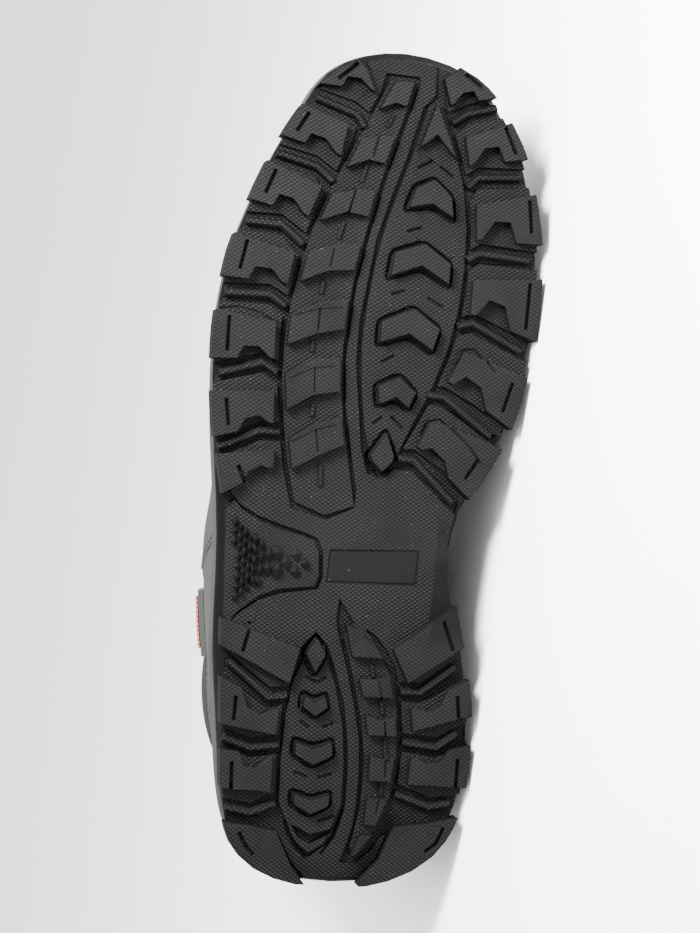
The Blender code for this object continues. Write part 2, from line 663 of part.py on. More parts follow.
def floors():
    """Raised floors of the tread, parted by narrow grooves."""
    forms = []
    fore_lat = [row for row in BARS if row[0] == "lat" and row[2] > 0.45]
    fore_med = [row for row in BARS if row[0] == "med" and row[2] > 0.45]
    heel_lat = [row for row in BARS if row[0] == "lat" and row[2] < 0.45]
    heel_med = [row for row in BARS if row[0] == "med" and row[2] < 0.45]

    def lateral(y):
        return line_x(FORE_LINES, 1, y) + GROOVE

    def medial(y):
        return line_x(FORE_LINES, 4, y) - GROOVE

    def heel_lateral(y):
        return line_x(HEEL_LINES, 1, y) + GROOVE

    def heel_medial(y):
        return line_x(HEEL_LINES, 4, y) - GROOVE

    for front, rear in zip(fore_lat, fore_lat[1:]):
        forms.append(shelf(front, rear, 1, lateral))
    for front, rear in zip(fore_med, fore_med[1:]):
        forms.append(shelf(front, rear, -1, medial))
    for front, rear in zip(heel_lat, heel_lat[1:]):
        forms.append(shelf(front, rear, 1, heel_lateral))
    for front, rear in zip(heel_med, heel_med[1:]):
        forms.append(shelf(front, rear, -1, heel_medial))
    forms.append(shelf(None, fore_lat[0], 1, lateral, front_y=0.975 * LENGTH))
    forms.append(shelf(None, fore_med[0], -1, medial, front_y=0.972 * LENGTH))
    forms.append(lane(FORE_LINES, 1, 2, 0.452 * LENGTH, 0.966 * LENGTH, bottom=-4.0))
    forms.append(lane(FORE_LINES, 3, 4, 0.497 * LENGTH, 0.938 * LENGTH, bottom=-1.5, top=2.0))
    forms.append(lane(HEEL_LINES, 1, 2, 0.052 * LENGTH, 0.290 * LENGTH, bottom=-3.5, top=2.0))
    forms.append(lane(HEEL_LINES, 3, 4, 0.048 * LENGTH, 0.300 * LENGTH, bottom=-2.0, top=5.5))
    return forms


def waist_floor():
    """Knurled waist with both ribs, one floor from ball to heel."""
    top_lat = bar_shift([r for r in BARS if r[0] == "lat" and r[2] > 0.45][-1], -CHANNEL)
    top_med = bar_shift([r for r in BARS if r[0] == "med" and r[2] > 0.45][-1], -CHANNEL)
    low_lat = bar_shift([r for r in BARS if r[0] == "lat" and r[2] < 0.45][0], CHANNEL)
    low_med = bar_shift([r for r in BARS if r[0] == "med" and r[2] < 0.45][0], CHANNEL)
    groove = 2.0 * GROOVE
    points = []
    # down the medial edge from the last forefoot channel
    y_top = top_med[0][1]
    points.append((top_med[2][0] + 1.0, top_med[2][1] - 0.5))
    points.append(top_med[1])
    points.append((edge(y_top, -1, 2.0), y_top))
    for share in (0.44, 0.41, 0.38, 0.35, 0.32, 0.29):
        y = share * LENGTH
        points.append((edge(y, -1, 1.8), y))
    y = low_med[0][1]
    points.append((edge(y, -1, 1.8), y))
    points.append(low_med[1])
    x = line_x(HEEL_LINES, 4, low_med[2][1]) - GROOVE
    points.append((x, low_med[2][1]))
    # round the head of the crescent lane, then down one side of the rib
    for share in (0.265, 0.285, 0.300, 0.314):
        y = share * LENGTH
        points.append((line_x(HEEL_LINES, 4, y) - GROOVE, y + groove * 0.3))
    points.append((line_x(HEEL_LINES, 3, 0.319 * LENGTH), 0.319 * LENGTH + 5.5 + groove))
    for share in (0.318, 0.30, 0.26, 0.22, 0.18, 0.14, 0.10, 0.075, 0.055):
        y = share * LENGTH
        points.append((line_x(HEEL_LINES, 3, y) + GROOVE, y))
    # rear floor between the heel lobes
    points.append((line_x(HEEL_LINES, 3, 0.04 * LENGTH) + 1.0, 0.031 * LENGTH))
    points.append((-0.052 * BALL, 0.031 * LENGTH))
    points.append((-0.095 * BALL, 0.047 * LENGTH))
    points.append((-0.125 * BALL, 0.066 * LENGTH))
    points.append((-0.140 * BALL, 0.066 * LENGTH))
    points.append((-0.112 * BALL, 0.036 * LENGTH))
    points.append((-0.064 * BALL, 0.0135 * LENGTH))
    points.append((0.101 * BALL, 0.0105 * LENGTH))
    points.append((0.150 * BALL, 0.030 * LENGTH))
    points.append((0.196 * BALL, 0.062 * LENGTH))
    points.append((0.184 * BALL, 0.062 * LENGTH))
    points.append((0.105 * BALL, 0.0325 * LENGTH))
    for share in (0.055, 0.075, 0.10, 0.14, 0.18, 0.22, 0.26, 0.285):
        y = share * LENGTH
        points.append((line_x(HEEL_LINES, 2, y) - GROOVE, y))
    # over the head of the lens lane and out along the first heel channel
    points.append((0.123 * BALL, 0.290 * LENGTH + 2.0 + groove))
    for share in (0.283, 0.262, 0.242):
        y = share * LENGTH
        points.append((line_x(HEEL_LINES, 1, y) + GROOVE, y))
    points.append((line_x(HEEL_LINES, 1, low_lat[2][1]) + GROOVE, low_lat[2][1]))
    points.append(low_lat[1])
    y = low_lat[0][1]
    points.append((edge(y, 1, 1.8), y))
    # round the faceted waist panel
    for x_share, y_share in PANEL_PATH:
        points.append((x_share * BALL, y_share * LENGTH))
    y = top_lat[0][1] - 4.0
    points.append((edge(y, 1, 1.6), y))
    points.append((edge(top_lat[0][1], 1, 1.6), top_lat[0][1]))
    points.append(top_lat[1])
    x = line_x(FORE_LINES, 1, top_lat[2][1]) + GROOVE
    points.append((x, top_lat[2][1]))
    for share in (0.49, 0.47, 0.445):
        y = share * LENGTH
        points.append((line_x(FORE_LINES, 1, y) + GROOVE, y))
    # under the outer lane and up the forefoot rib
    y = 0.437 * LENGTH
    points.append((0.118 * BALL, y - 1.0))
    points.append((0.035 * BALL, 0.450 * LENGTH))
    for share in (0.47, 0.52, 0.57, 0.62, 0.67, 0.72, 0.77, 0.82, 0.87, 0.92, 0.962):
        y = share * LENGTH
        points.append((line_x(FORE_LINES, 2, y) - GROOVE, y))
    points.append((line_x(FORE_LINES, 2, 0.962 * LENGTH) - 1.0, 0.972 * LENGTH))
    points.append((0.055 * BALL, 0.973 * LENGTH))
    points.append((0.070 * BALL, 0.9865 * LENGTH))
    points.append((-0.040 * BALL, 0.9915 * LENGTH))
    points.append((-0.155 * BALL, 0.9885 * LENGTH))
    points.append((-0.150 * BALL, 0.950 * LENGTH))
    for share in (0.935, 0.92, 0.87, 0.82, 0.77, 0.72, 0.67, 0.62, 0.57, 0.52):
        y = share * LENGTH
        points.append((line_x(FORE_LINES, 3, y) + GROOVE, y))
    points.append((0.002 * BALL, 0.492 * LENGTH))
    points.append((-0.045 * BALL, 0.486 * LENGTH))
    return points


# Groove round the faceted waist panel, heel end first (BALL, LENGTH)
PANEL_PATH = (
    (0.405, 0.298), (0.372, 0.316), (0.305, 0.335), (0.245, 0.344),
    (0.176, 0.349), (0.128, 0.352), (0.116, 0.366), (0.120, 0.396),
    (0.140, 0.411), (0.183, 0.417), (0.255, 0.424), (0.335, 0.434),
    (0.385, 0.445), (0.410, 0.455),
)
PANEL_GROOVE = 1.6


def panel_floor():
    """Faceted panel on the lateral waist, inside its groove."""
    path = [(x * BALL, y * LENGTH) for x, y in PANEL_PATH]
    centre = (0.30 * BALL, 0.383 * LENGTH)
    points = []
    for x, y in path:
        away = Vector((centre[0] - x, centre[1] - y))
        away.normalize()
        points.append((x + away.x * PANEL_GROOVE, y + away.y * PANEL_GROOVE))
    for share in (0.437, 0.410, 0.383, 0.356, 0.329, 0.312):
        y = share * LENGTH
        points.append((edge(y, 1, 1.8), y))
    return points


# Heel lobes: side, then (x, y) corners of the inner and front edges
LOBES = (
    ("lat", ((0.101, 0.0035), (0.150, 0.026), (0.178, 0.046), (0.205, 0.066), (0.295, 0.0725))),
    ("med", ((-0.064, 0.0035), (-0.066, 0.014), (-0.118, 0.038), (-0.150, 0.072), (-0.158, 0.078),
             (-0.250, 0.083))),
)
LOBE_FRONT = {"lat": 0.0745, "med": 0.092}


def lobe_outline(name, inner):
    side = side_of(name)
    points = [(x * BALL, y * LENGTH) for x, y in inner]
    front = LOBE_FRONT[name]
    for share in (1.0, 0.86, 0.68, 0.48, 0.28, 0.13, 0.045):
        y = share * front * LENGTH
        if abs(edge(y, side)) > abs(points[0][0]) + 1.0:
            points.append((edge(y, side), y))
    return points


def build_outsole(group, tools, paint):
    floor = ring(CHANNEL_INSET, lambda y: tread_z(y) + LUG_DEPTH)
    low = ring(CHANNEL_INSET - 1.0, lambda y: tread_z(y) + LUG_DEPTH + 1.8)
    high = ring(tucked(-WALL_BULGE * 0.6, 0.8), lambda y: joint_z(y) - 2.6)
    top = ring(tucked(-WALL_BULGE), joint_z)
    points, faces = loft([floor, low, high, top], True)
    sole = place("outsole", points, faces, group, paint)
    forms = [prism(outline, PAD_DEPTH) for outline in floors()]
    points, faces = gather(forms)
    merge(sole, place("tool_floors", points, faces, tools), "UNION")
    points, faces = prism(waist_floor(), PAD_DEPTH + 0.07)
    merge(sole, place("tool_waist", points, faces, tools), "UNION")
    points, faces = prism(panel_floor(), PAD_DEPTH - 0.3)
    merge(sole, place("tool_panel", points, faces, tools), "UNION")
    points, faces = gather([bar_form(row) for row in BARS])
    merge(sole, place("tool_bars", points, faces, tools), "UNION")
    forms = [prism(block_outline(row), BLOCK_DEPTH) for row in BLOCKS]
    points, faces = gather(forms)
    merge(sole, place("tool_blocks", points, faces, tools), "UNION")
    forms = [prism(lug_outline(row), 0.0, LUG_ROOT) for row in LUGS]
    forms.extend(prism(lobe_outline(name, inner), 0.0, LUG_ROOT) for name, inner in LOBES)
    points, faces = gather(forms)
    merge(sole, place("tool_lugs", points, faces, tools), "UNION")
    return sole


def build_midsole(group, paint):
    low = ring(tucked(-WALL_BULGE), lambda y: joint_z(y) + GAP)
    middle = ring(tucked(-WALL_BULGE - 0.7), lambda y: joint_z(y) * 0.45 + sole_z(y) * 0.55)
    high = ring(tucked(0.4, 0.7), lambda y: sole_z(y) - 1.2)
    top = ring(tucked(1.2, 0.6), sole_z)
    points, faces = loft([low, middle, high, top], True)
    return place("midsole", points, faces, group, paint)


def build_insole(group, paint):
    low = ring(INSOLE_INSET, lambda y: sole_z(y) + GAP, 20)
    top = ring(INSOLE_INSET + 2.2, lambda y: sole_z(y) + GAP + INSOLE_THICK, 20)
    points, faces = loft([low, top], True)
    return place("insole", points, faces, group, paint)


# Upper

def column(index, scale):
    return Curve(range(len(SECTIONS)), [row[index] * scale for row in SECTIONS])


FOOT_Y = column(1, LENGTH)
RISE = column(2, COLLAR)
TOP_Y = column(3, LENGTH)
TOP_Z = column(4, COLLAR)
RIDGE = column(5, BALL)
SWELL = column(6, BALL)
BEHIND = column(7, BALL)
WIDEST = column(8, 1.0)
FULL = column(9, 1.0)


def feather(y):
    """Tread outline to the foot of the upper at y."""
    along = y / LENGTH
    fore = smooth(0.38, 0.56, along) * (1.0 - smooth(0.88, 0.965, along))
    return FEATHER_INSET + (FEATHER_FORE - FEATHER_INSET) * fore


class Section:
    """One rib of the upper, in the plane from its foot to its top."""

    def __init__(self, s):
        self.s = s
        y = FOOT_Y.at(s)
        rise = max(0.0, RISE.at(s))
        self.foot = Vector((MIDDLE.at(sweep_angle(clamp(y / LENGTH))), y, sole_z(y) + GAP + rise))
        self.top = Vector((RIDGE.at(s), TOP_Y.at(s), TOP_Z.at(s)))
        foot_half = half_width(y, feather(y)) if s < HEEL_ROW - 1e-6 else 0.0
        front = max(0.05, math.hypot(foot_half, SWELL.at(s)))
        blend = smooth(ROW["instep"], ROW["ankle"], s)
        self.width = front + (BEHIND.at(s) - front) * blend
        self.full = FULL.at(s)
        self.widest = WIDEST.at(s)
        ratio = clamp(foot_half / self.width, 0.0, 0.999)
        self.end = math.pi - math.asin(ratio ** (1.0 / self.full))
        self.gap = throat_gap(s)
        share = clamp(self.gap / self.width, 0.0, 0.9)
        self.start = math.asin(share ** (1.0 / self.full))

    def at(self, angle, side):
        """Point on the outer face at an angle from the ridge."""
        if angle <= math.pi / 2.0:
            down = self.widest * (1.0 - math.cos(angle))
        else:
            turn = math.cos(angle) / math.cos(self.end)
            down = self.widest + (1.0 - self.widest) * turn
        out = self.width * max(0.0, math.sin(angle)) ** self.full
        middle = self.top.lerp(self.foot, down)
        return Vector((middle.x + side * out, middle.y, middle.z))

    def angle(self, v):
        return self.start + (self.end - self.start) * v

    def angle_of(self, x):
        """Angle where the section is x from its ridge."""
        return math.asin(clamp(x / self.width, 0.0, 1.0) ** (1.0 / self.full))


def throat_gap(s):
    share = (s - THROAT_ROW) / (COLLAR_ROW - THROAT_ROW)
    if share <= 0.0:
        return 0.0
    wide = THROAT_LOW + (THROAT_HIGH - THROAT_LOW) * share
    return wide * math.tanh(share * 16.0)


def face_normal(s, angle_or_v, side, by_angle=False):
    """Outward direction of the upper's face."""
    step = 0.04
    low = max(0.3, s - step)
    high = min(TOP_ROW, s + step)

    def spot(row, value):
        section = Section(row)
        angle = value if by_angle else section.angle(value)
        return section.at(min(angle, section.end), side)

    value = angle_or_v
    reach = 0.02
    limit = math.pi if by_angle else 1.0
    back = max(0.02, value - reach)
    fore = min(limit, max(value, 0.02) + reach)
    along = spot(high, value) - spot(low, value)
    down = spot(s, fore) - spot(s, back)
    normal = along.cross(down) * side
    normal.normalize()
    return normal


def padding(s, v):
    """Share of the collar padding at a place on the upper."""
    return smooth(COLLAR_ROW - 2.2, COLLAR_ROW - 0.8, s) * smooth(0.32, 0.52, v)


def section_rows():
    """Section places for the mesh, closer at the toe."""
    rows = [0.0]
    for k in range(1, SECTION_STEPS + 1):
        share = k / SECTION_STEPS
        rows.append(0.55 + (COLLAR_ROW - 0.55) * (0.90 * share + 0.10 * share ** 2))
    for fixed in (THROAT_ROW, HEEL_ROW):
        nearest = min(range(1, len(rows) - 1), key=lambda k: abs(rows[k] - fixed))
        rows[nearest] = fixed
    return rows


def upper_point(s, v, side, depth):
    """Point at a depth into the wall, depth 0 on the outer face."""
    if s <= 0.0:
        section = Section(0.0)
        return section.foot + Vector((0.0, -depth, 0.0))
    section = Section(s)
    point = section.at(section.angle(v), side)
    normal = face_normal(s, v, side)
    if v >= 0.999 and s < HEEL_ROW:
        normal.z = 0.0
        normal.normalize()
    if (v <= 0.001 and s <= THROAT_ROW + 1e-6) or (v >= 0.999 and s >= HEEL_ROW - 1e-6):
        normal.x = 0.0
        normal.normalize()
    if s >= COLLAR_ROW - 1e-6:
        lift = (section.top - section.foot).normalized()
        rim = Vector((0.0, -lift.z, lift.y))
        normal = normal - rim * normal.dot(rim)
        normal.normalize()
    swell = COLLAR_SWELL * padding(s, v)
    return point + normal * (swell - depth)


def fairing(rows, side):
    """Small moves that ease the fold where the ribs turn up the heel back."""
    spots = []
    for s in rows:
        line = [upper_point(s, j / RIB_STEPS, side, 0.0) for j in range(RIB_STEPS + 1)]
        spots.append(line)
    eased = [list(line) for line in spots]
    for turn in range(FAIR_TURNS):
        fresh = [list(line) for line in eased]
        for i in range(1, len(rows) - 1):
            share = smooth(ROW["instep_high"], ROW["ankle"], rows[i])
            share *= 1.0 - smooth(ROW["achilles"], ROW["collar"] - 0.5, rows[i])
            if share <= 0.0:
                continue
            for j in range(1, RIB_STEPS):
                near = share * smooth(0.12, 0.40, j / RIB_STEPS)
                near *= 1.0 - 0.75 * smooth(0.70, 1.0, j / RIB_STEPS)
                level = (eased[i - 1][j] + eased[i + 1][j]) * 0.35
                level += (eased[i][j - 1] + eased[i][j + 1]) * 0.15
                fresh[i][j] = eased[i][j].lerp(level, 0.6 * near)
        eased = fresh
    return [[b - a for a, b in zip(line, soft)] for line, soft in zip(spots, eased)]


def build_upper(group, paint):
    rows = section_rows()
    last = len(rows) - 1
    eased = {side: fairing(rows, side) for side in (1, -1)}
    points = []
    index = {}

    def vertex(layer, side, i, j):
        key = (layer, side, i, j)
        if i == 0:
            key = (layer, 0, 0, 0)
        elif j == 0 and rows[i] <= THROAT_ROW + 1e-6:
            key = (layer, 0, i, 0)
        elif j == RIB_STEPS and rows[i] >= HEEL_ROW - 1e-6:
            key = (layer, 0, i, RIB_STEPS)
        if key not in index:
            v = j / RIB_STEPS
            depth = 0.0
            if layer:
                depth = WALL + (PADDING + COLLAR_SWELL) * padding(rows[i], v)
            point = upper_point(rows[i], v, side, depth)
            point += eased[side][i][j]
            if key[1] == 0 and i:
                mirror = upper_point(rows[i], v, -side, depth)
                point = (point + mirror) / 2.0
            index[key] = len(points)
            points.append(point)
        return index[key]

    faces = []

    def add(*corners):
        clean = []
        for corner in corners:
            if corner not in clean:
                clean.append(corner)
        if len(clean) > 2:
            faces.append(tuple(clean))

    for side in (1, -1):
        for layer in (0, 1):
            for i in range(last):
                for j in range(RIB_STEPS):
                    add(vertex(layer, side, i, j), vertex(layer, side, i + 1, j),
                        vertex(layer, side, i + 1, j + 1), vertex(layer, side, i, j + 1))
        for i in range(last):
            if rows[i] < HEEL_ROW - 1e-6:
                add(vertex(0, side, i, RIB_STEPS), vertex(0, side, i + 1, RIB_STEPS),
                    vertex(1, side, i + 1, RIB_STEPS), vertex(1, side, i, RIB_STEPS))
            if rows[i] > THROAT_ROW - 1e-6:
                add(vertex(0, side, i, 0), vertex(0, side, i + 1, 0),
                    vertex(1, side, i + 1, 0), vertex(1, side, i, 0))
        for j in range(RIB_STEPS):
            add(vertex(0, side, last, j), vertex(0, side, last, j + 1),
                vertex(1, side, last, j + 1), vertex(1, side, last, j))
    return place("upper", points, faces, group, paint)


def build_tongue(group, paint):
    """Padded tongue under the throat, a little past the collar."""
    start = THROAT_ROW - 0.7
    count = 12
    across = 5
    top_depth = WALL + 0.9
    low_depth = top_depth + TONGUE_THICK
    layers = []
    for depth, pinch in ((top_depth, 0.0), (low_depth, 1.5)):
        grid = []
        for i in range(count + 1):
            share = i / count
            s = start + (TOP_ROW - start) * share
            section = Section(s)
            half = TONGUE_LOW + (TONGUE_HIGH - TONGUE_LOW) * share
            line = []
            for j in range(-across, across + 1):
                x = abs(j) / across * (half - pinch)
                angle = section.angle_of(x)
                side = 1 if j >= 0 else -1
                point = section.at(angle, side)
                normal = face_normal(s, max(angle, 0.05), side, True)
                blend = smooth(0.0, 0.35, abs(j) / across)
                normal.x = normal.x * blend
                normal.normalize()
                line.append(point - normal * depth)
            grid.append(line)
        layers.append(grid)
    width = 2 * across + 1
    points = [p for grid in layers for line in grid for p in line]
    faces = []
    size = (count + 1) * width
    for layer in (0, 1):
        for i in range(count):
            for j in range(width - 1):
                a = layer * size + i * width + j
                faces.append((a, a + width, a + width + 1, a + 1))
    for i in range(count):
        for j in (0, width - 1):
            a = i * width + j
            faces.append((a, a + width, a + width + size, a + size))
    for i in (0, count):
        for j in range(width - 1):
            a = i * width + j
            faces.append((a, a + 1, a + 1 + size, a + size))
    return place("tongue", points, faces, group, paint)


def ridge_row(share, low, high):
    """Section that a share of the way along the ridge falls on."""
    steps = 120
    tops = [Section(low + (high - low) * k / steps).top for k in range(steps + 1)]
    lengths = [0.0]
    for a, b in zip(tops, tops[1:]):
        lengths.append(lengths[-1] + (b - a).length)
    goal = share * lengths[-1]
    for k in range(steps):
        if lengths[k + 1] >= goal:
            part = (goal - lengths[k]) / (lengths[k + 1] - lengths[k])
            return low + (high - low) * (k + part) / steps
    return high


def eyelet_places(inward=0.0):
    """Place and outward direction of every eyelet, or of a spot inward of it."""
    places = []
    low = THROAT_ROW + EYELET_FIRST
    high = COLLAR_ROW - EYELET_LAST
    for k in range(EYELET_PAIRS):
        s = ridge_row(k / (EYELET_PAIRS - 1), low, high)
        section = Section(s)
        angle = section.angle_of(section.gap + EYELET_EDGE - inward)
        for side in (1, -1):
            point = section.at(angle, side)
            places.append((k, side, point, face_normal(s, angle, side, True)))
    return places


def frame_of(normal):
    """Two directions across a normal."""
    first = Vector((0.0, 1.0, 0.0)).cross(normal)
    if first.length < 0.2:
        first = Vector((1.0, 0.0, 0.0)).cross(normal)
    first.normalize()
    return first, normal.cross(first)


def lathe(centre, normal, profile, sides, close=True):
    """Ring of a profile of (radius, height) about a normal."""
    first, second = frame_of(normal)
    points = []
    for k in range(sides):
        turn = 2.0 * math.pi * k / sides
        spoke = first * math.cos(turn) + second * math.sin(turn)
        for radius, height in profile:
            points.append(centre + spoke * radius + normal * height)
    count = len(profile)
    faces = []
    for k in range(sides):
        nxt = (k + 1) % sides
        for j in range(count if close else count - 1):
            up = (j + 1) % count
            faces.append((k * count + j, nxt * count + j, nxt * count + up, k * count + up))
    if not close:
        faces.append(tuple(k * count for k in range(sides)))
        faces.append(tuple(k * count + count - 1 for k in range(sides)))
    return points, faces


def tree_of(item):
    work = bmesh.new()
    work.from_mesh(item.data)
    tree = BVHTree.FromBMesh(work)
    work.free()
    return tree


def seat_height(tree, centre, normal, radius):
    """Highest point of the leather under a flange, over its middle."""
    first, second = frame_of(normal)
    highest = 0.0
    for k in range(12):
        turn = math.pi * k / 6.0
        spoke = first * math.cos(turn) + second * math.sin(turn)
        start = centre + spoke * radius + normal * 6.0
        hit = tree.ray_cast(start * MM, -normal)
        if hit[0] is not None:
            highest = max(highest, 6.0 - hit[3] / MM)
    return highest


def build_eyelets(group, tools, upper, paint):
    """Eyelets in holes through the upper."""
    barrel = EYELET_BORE + 0.6
    tree = tree_of(upper)
    holes = []
    for number, side, centre, normal in eyelet_places():
        name = "eyelet_%s_%d" % ("lateral" if side > 0 else "medial", number + 1)
        seat = GAP + seat_height(tree, centre, normal, EYELET_FLANGE + 0.1)
        foot = 0.8 - WALL
        profile = ((EYELET_BORE, foot), (barrel, foot), (barrel, seat), (EYELET_FLANGE, seat),
                   (EYELET_FLANGE, seat + EYELET_RIM), (EYELET_BORE, seat + EYELET_RIM))
        points, faces = lathe(centre, normal, profile, EYELET_SIDES)
        place(name, points, faces, group, paint)
        wide = (barrel + GAP) / math.cos(math.pi / EYELET_SIDES)
        holes.append(lathe(centre, normal, ((wide, -WALL - 3.0), (wide, 3.0)), EYELET_SIDES, False))
    points, faces = gather(holes)
    merge(upper, place("tool_holes", points, faces, tools), "DIFFERENCE")


def rod(start, end, radius, sides=5):
    """Straight cord with flat ends."""
    run = (end - start).normalized()
    first, second = frame_of(run)
    points = []
    for base in (start, end):
        for k in range(sides):
            turn = 2.0 * math.pi * (k + 0.5) / sides
            points.append(base + (first * math.cos(turn) + second * math.sin(turn)) * radius)
    faces = [tuple(range(sides)), tuple(range(2 * sides - 1, sides - 1, -1))]
    for k in range(sides):
        nxt = (k + 1) % sides
        faces.append((k, nxt, nxt + sides, k + sides))
    return points, faces


def build_lace(group, tools, paint):
    """Bottom bar and crossings, joined; the ends stop at the top eyelets."""
    spots = {}
    for number, side, centre, normal in eyelet_places(EYELET_FLANGE + LACE_RADIUS + LACE_LIFT):
        spots[(number, side)] = centre + normal * (LACE_LIFT + LACE_RADIUS)
    start = spots[(0, 1)]
    end = spots[(0, -1)]
    over = (start - end).normalized() * 0.8
    points, faces = rod(start + over, end - over, LACE_RADIUS)
    lace = place("lace", points, faces, group, paint)
    for number in range(EYELET_PAIRS - 1):
        for side in (1, -1):
            a = spots[(number, side)]
            b = spots[(number + 1, -side)]
            over = (a - b).normalized() * 0.7
            points, faces = rod(a + over, b - over, LACE_RADIUS)
            name = "tool_cross_%d_%d" % (number + 1, 1 if side > 0 else 2)
            merge(lace, place(name, points, faces, tools), "UNION")
    return lace


def build_tab(group, upper, paint, band_paint):
    """Plain raised tab on the lateral ankle with a band on its face."""
    tree = tree_of(upper)

    def skin(y, z):
        hit = tree.ray_cast(Vector((0.12, y * MM, z * MM)), Vector((-1.0, 0.0, 0.0)))
        return hit[0].x / MM

    def patch(name, length, height, low, high, colour):
        across = 5
        tall = 4
        levels = []
        for offset in (low, high):
            for i in range(across + 1):
                for j in range(tall + 1):
                    y = TAB_MID[0] + length * (i / across - 0.5)
                    z = TAB_MID[1] + height * (j / tall - 0.5)
                    levels.append(Vector((skin(y, z) + offset, y, z)))
        size = (across + 1) * (tall + 1)
        faces = []
        for base in (0, size):
            for i in range(across):
                for j in range(tall):
                    a = base + i * (tall + 1) + j
                    faces.append((a, a + tall + 1, a + tall + 2, a + 1))
        border = [i * (tall + 1) for i in range(across + 1)]
        border += [across * (tall + 1) + j for j in range(1, tall + 1)]
        border += [i * (tall + 1) + tall for i in range(across - 1, -1, -1)]
        border += [j for j in range(tall - 1, 0, -1)]
        for k, a in enumerate(border):
            b = border[(k + 1) % len(border)]
            faces.append((a, b, b + size, a + size))
        place(name, levels, faces, group, colour)

    patch("side_tab", TAB_LENGTH, TAB_HEIGHT, GAP + 0.1, GAP + TAB_THICK, paint)
    patch("side_band", TAB_LENGTH * BAND_SHARE, TAB_HEIGHT * BAND_SHARE, 2 * GAP + TAB_THICK,
          2 * GAP + TAB_THICK + BAND_THICK, band_paint)


# Laying the boot down

def rest_matrix(items):
    """Turn that puts the medial side on the floor, shaft and sole edge down."""
    cloud = bmesh.new()
    total = 0.0
    centre = Vector((0.0, 0.0, 0.0))
    for item in items:
        work = bmesh.new()
        work.from_mesh(item.data)
        for vert in work.verts:
            cloud.verts.new(vert.co)
        bmesh.ops.triangulate(work, faces=work.faces)
        for face in work.faces:
            a, b, c = (v.co for v in face.verts)
            part = a.dot(b.cross(c)) / 6.0
            total += part
            centre += (a + b + c) / 4.0 * part
        work.free()
    centre /= total
    hull = bmesh.ops.convex_hull(cloud, input=cloud.verts)
    faces = [f for f in hull["geom"] if isinstance(f, bmesh.types.BMFace)]
    bmesh.ops.recalc_face_normals(cloud, faces=faces)
    best = None
    for face in faces:
        normal = face.normal.copy()
        if normal.x > -0.6:
            continue
        start = face.verts[0].co
        foot = centre - normal * (centre - start).dot(normal)
        ring_points = [v.co for v in face.verts]
        inside = True
        for a, b in zip(ring_points, ring_points[1:] + ring_points[:1]):
            if (b - a).cross(foot - a).dot(normal) < -1e-9:
                inside = False
        if inside:
            best = normal
    cloud.free()
    down = best
    toe = Vector((0.0, 1.0, 0.0))
    toe = (toe - down * toe.dot(down)).normalized()
    right = toe.cross(-down)
    turn = Matrix((right, toe, -down)).to_4x4()
    return turn


def lay_down(items):
    turn = rest_matrix(items)
    for item in items:
        item.data.transform(turn)
    low = Vector((1e9, 1e9, 1e9))
    high = Vector((-1e9, -1e9, -1e9))
    for item in items:
        for vert in item.data.vertices:
            for axis in range(3):
                low[axis] = min(low[axis], vert.co[axis])
                high[axis] = max(high[axis], vert.co[axis])
    shift = Vector(((low.x + high.x) / 2.0, (low.y + high.y) / 2.0, low.z))
    for item in items:
        item.data.transform(Matrix.Translation(-shift))
        item.data.update()


def main():
    for item in list(bpy.data.objects):
        bpy.data.objects.remove(item)
    parts = collection("hiking_boot")
    tools = collection("tools", True)
    rubber = material("tread_rubber", (0.035, 0.034, 0.037), 0.75)
    foam = material("midsole_rubber", (0.075, 0.078, 0.080), 0.70)
    leather = material("upper_suede", (0.33, 0.33, 0.32), 0.85)
    lining = material("tongue_suede", (0.25, 0.25, 0.245), 0.88)
    board = material("insole_felt", (0.06, 0.06, 0.062), 0.95)
    metal = material("eyelet_metal", (0.10, 0.10, 0.105), 0.40, 1.0)
    cord = material("lace_cord", (0.05, 0.05, 0.052), 0.80)
    plain = material("tab_rubber", (0.022, 0.022, 0.024), 0.55)
    red = material("band_weave", (0.55, 0.06, 0.035), 0.75)
    build_outsole(parts, tools, rubber)
    build_midsole(parts, foam)
    build_insole(parts, board)
    upper = build_upper(parts, leather)
    build_tongue(parts, lining)
    build_tab(parts, upper, plain, red)
    build_eyelets(parts, tools, upper, metal)
    build_lace(parts, tools, cord)
    lay_down(list(parts.objects))


main()
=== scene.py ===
"""Hiking boot, right foot, lying on its inner side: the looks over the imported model."""

import json
import math
from contextlib import contextmanager

import bmesh
import bpy
from bpy.props import FloatProperty, FloatVectorProperty, PointerProperty
from mathutils import Matrix, Vector
from mathutils.bvhtree import BVHTree


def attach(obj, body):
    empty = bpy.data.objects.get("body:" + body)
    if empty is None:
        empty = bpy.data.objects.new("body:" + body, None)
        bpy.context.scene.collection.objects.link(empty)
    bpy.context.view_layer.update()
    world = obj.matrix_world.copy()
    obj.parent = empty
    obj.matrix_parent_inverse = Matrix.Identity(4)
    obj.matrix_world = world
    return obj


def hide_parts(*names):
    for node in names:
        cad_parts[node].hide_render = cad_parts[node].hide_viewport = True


bl_info = {
    "name": "Hiking boot",
    "version": (1, 0, 0),
    "blender": (4, 5, 0),
    "location": "3D View > Sidebar > Boot",
    "description": "Dresses the hiking boot: tread, side wall, upper, lace and trim",
    "category": "Object",
}

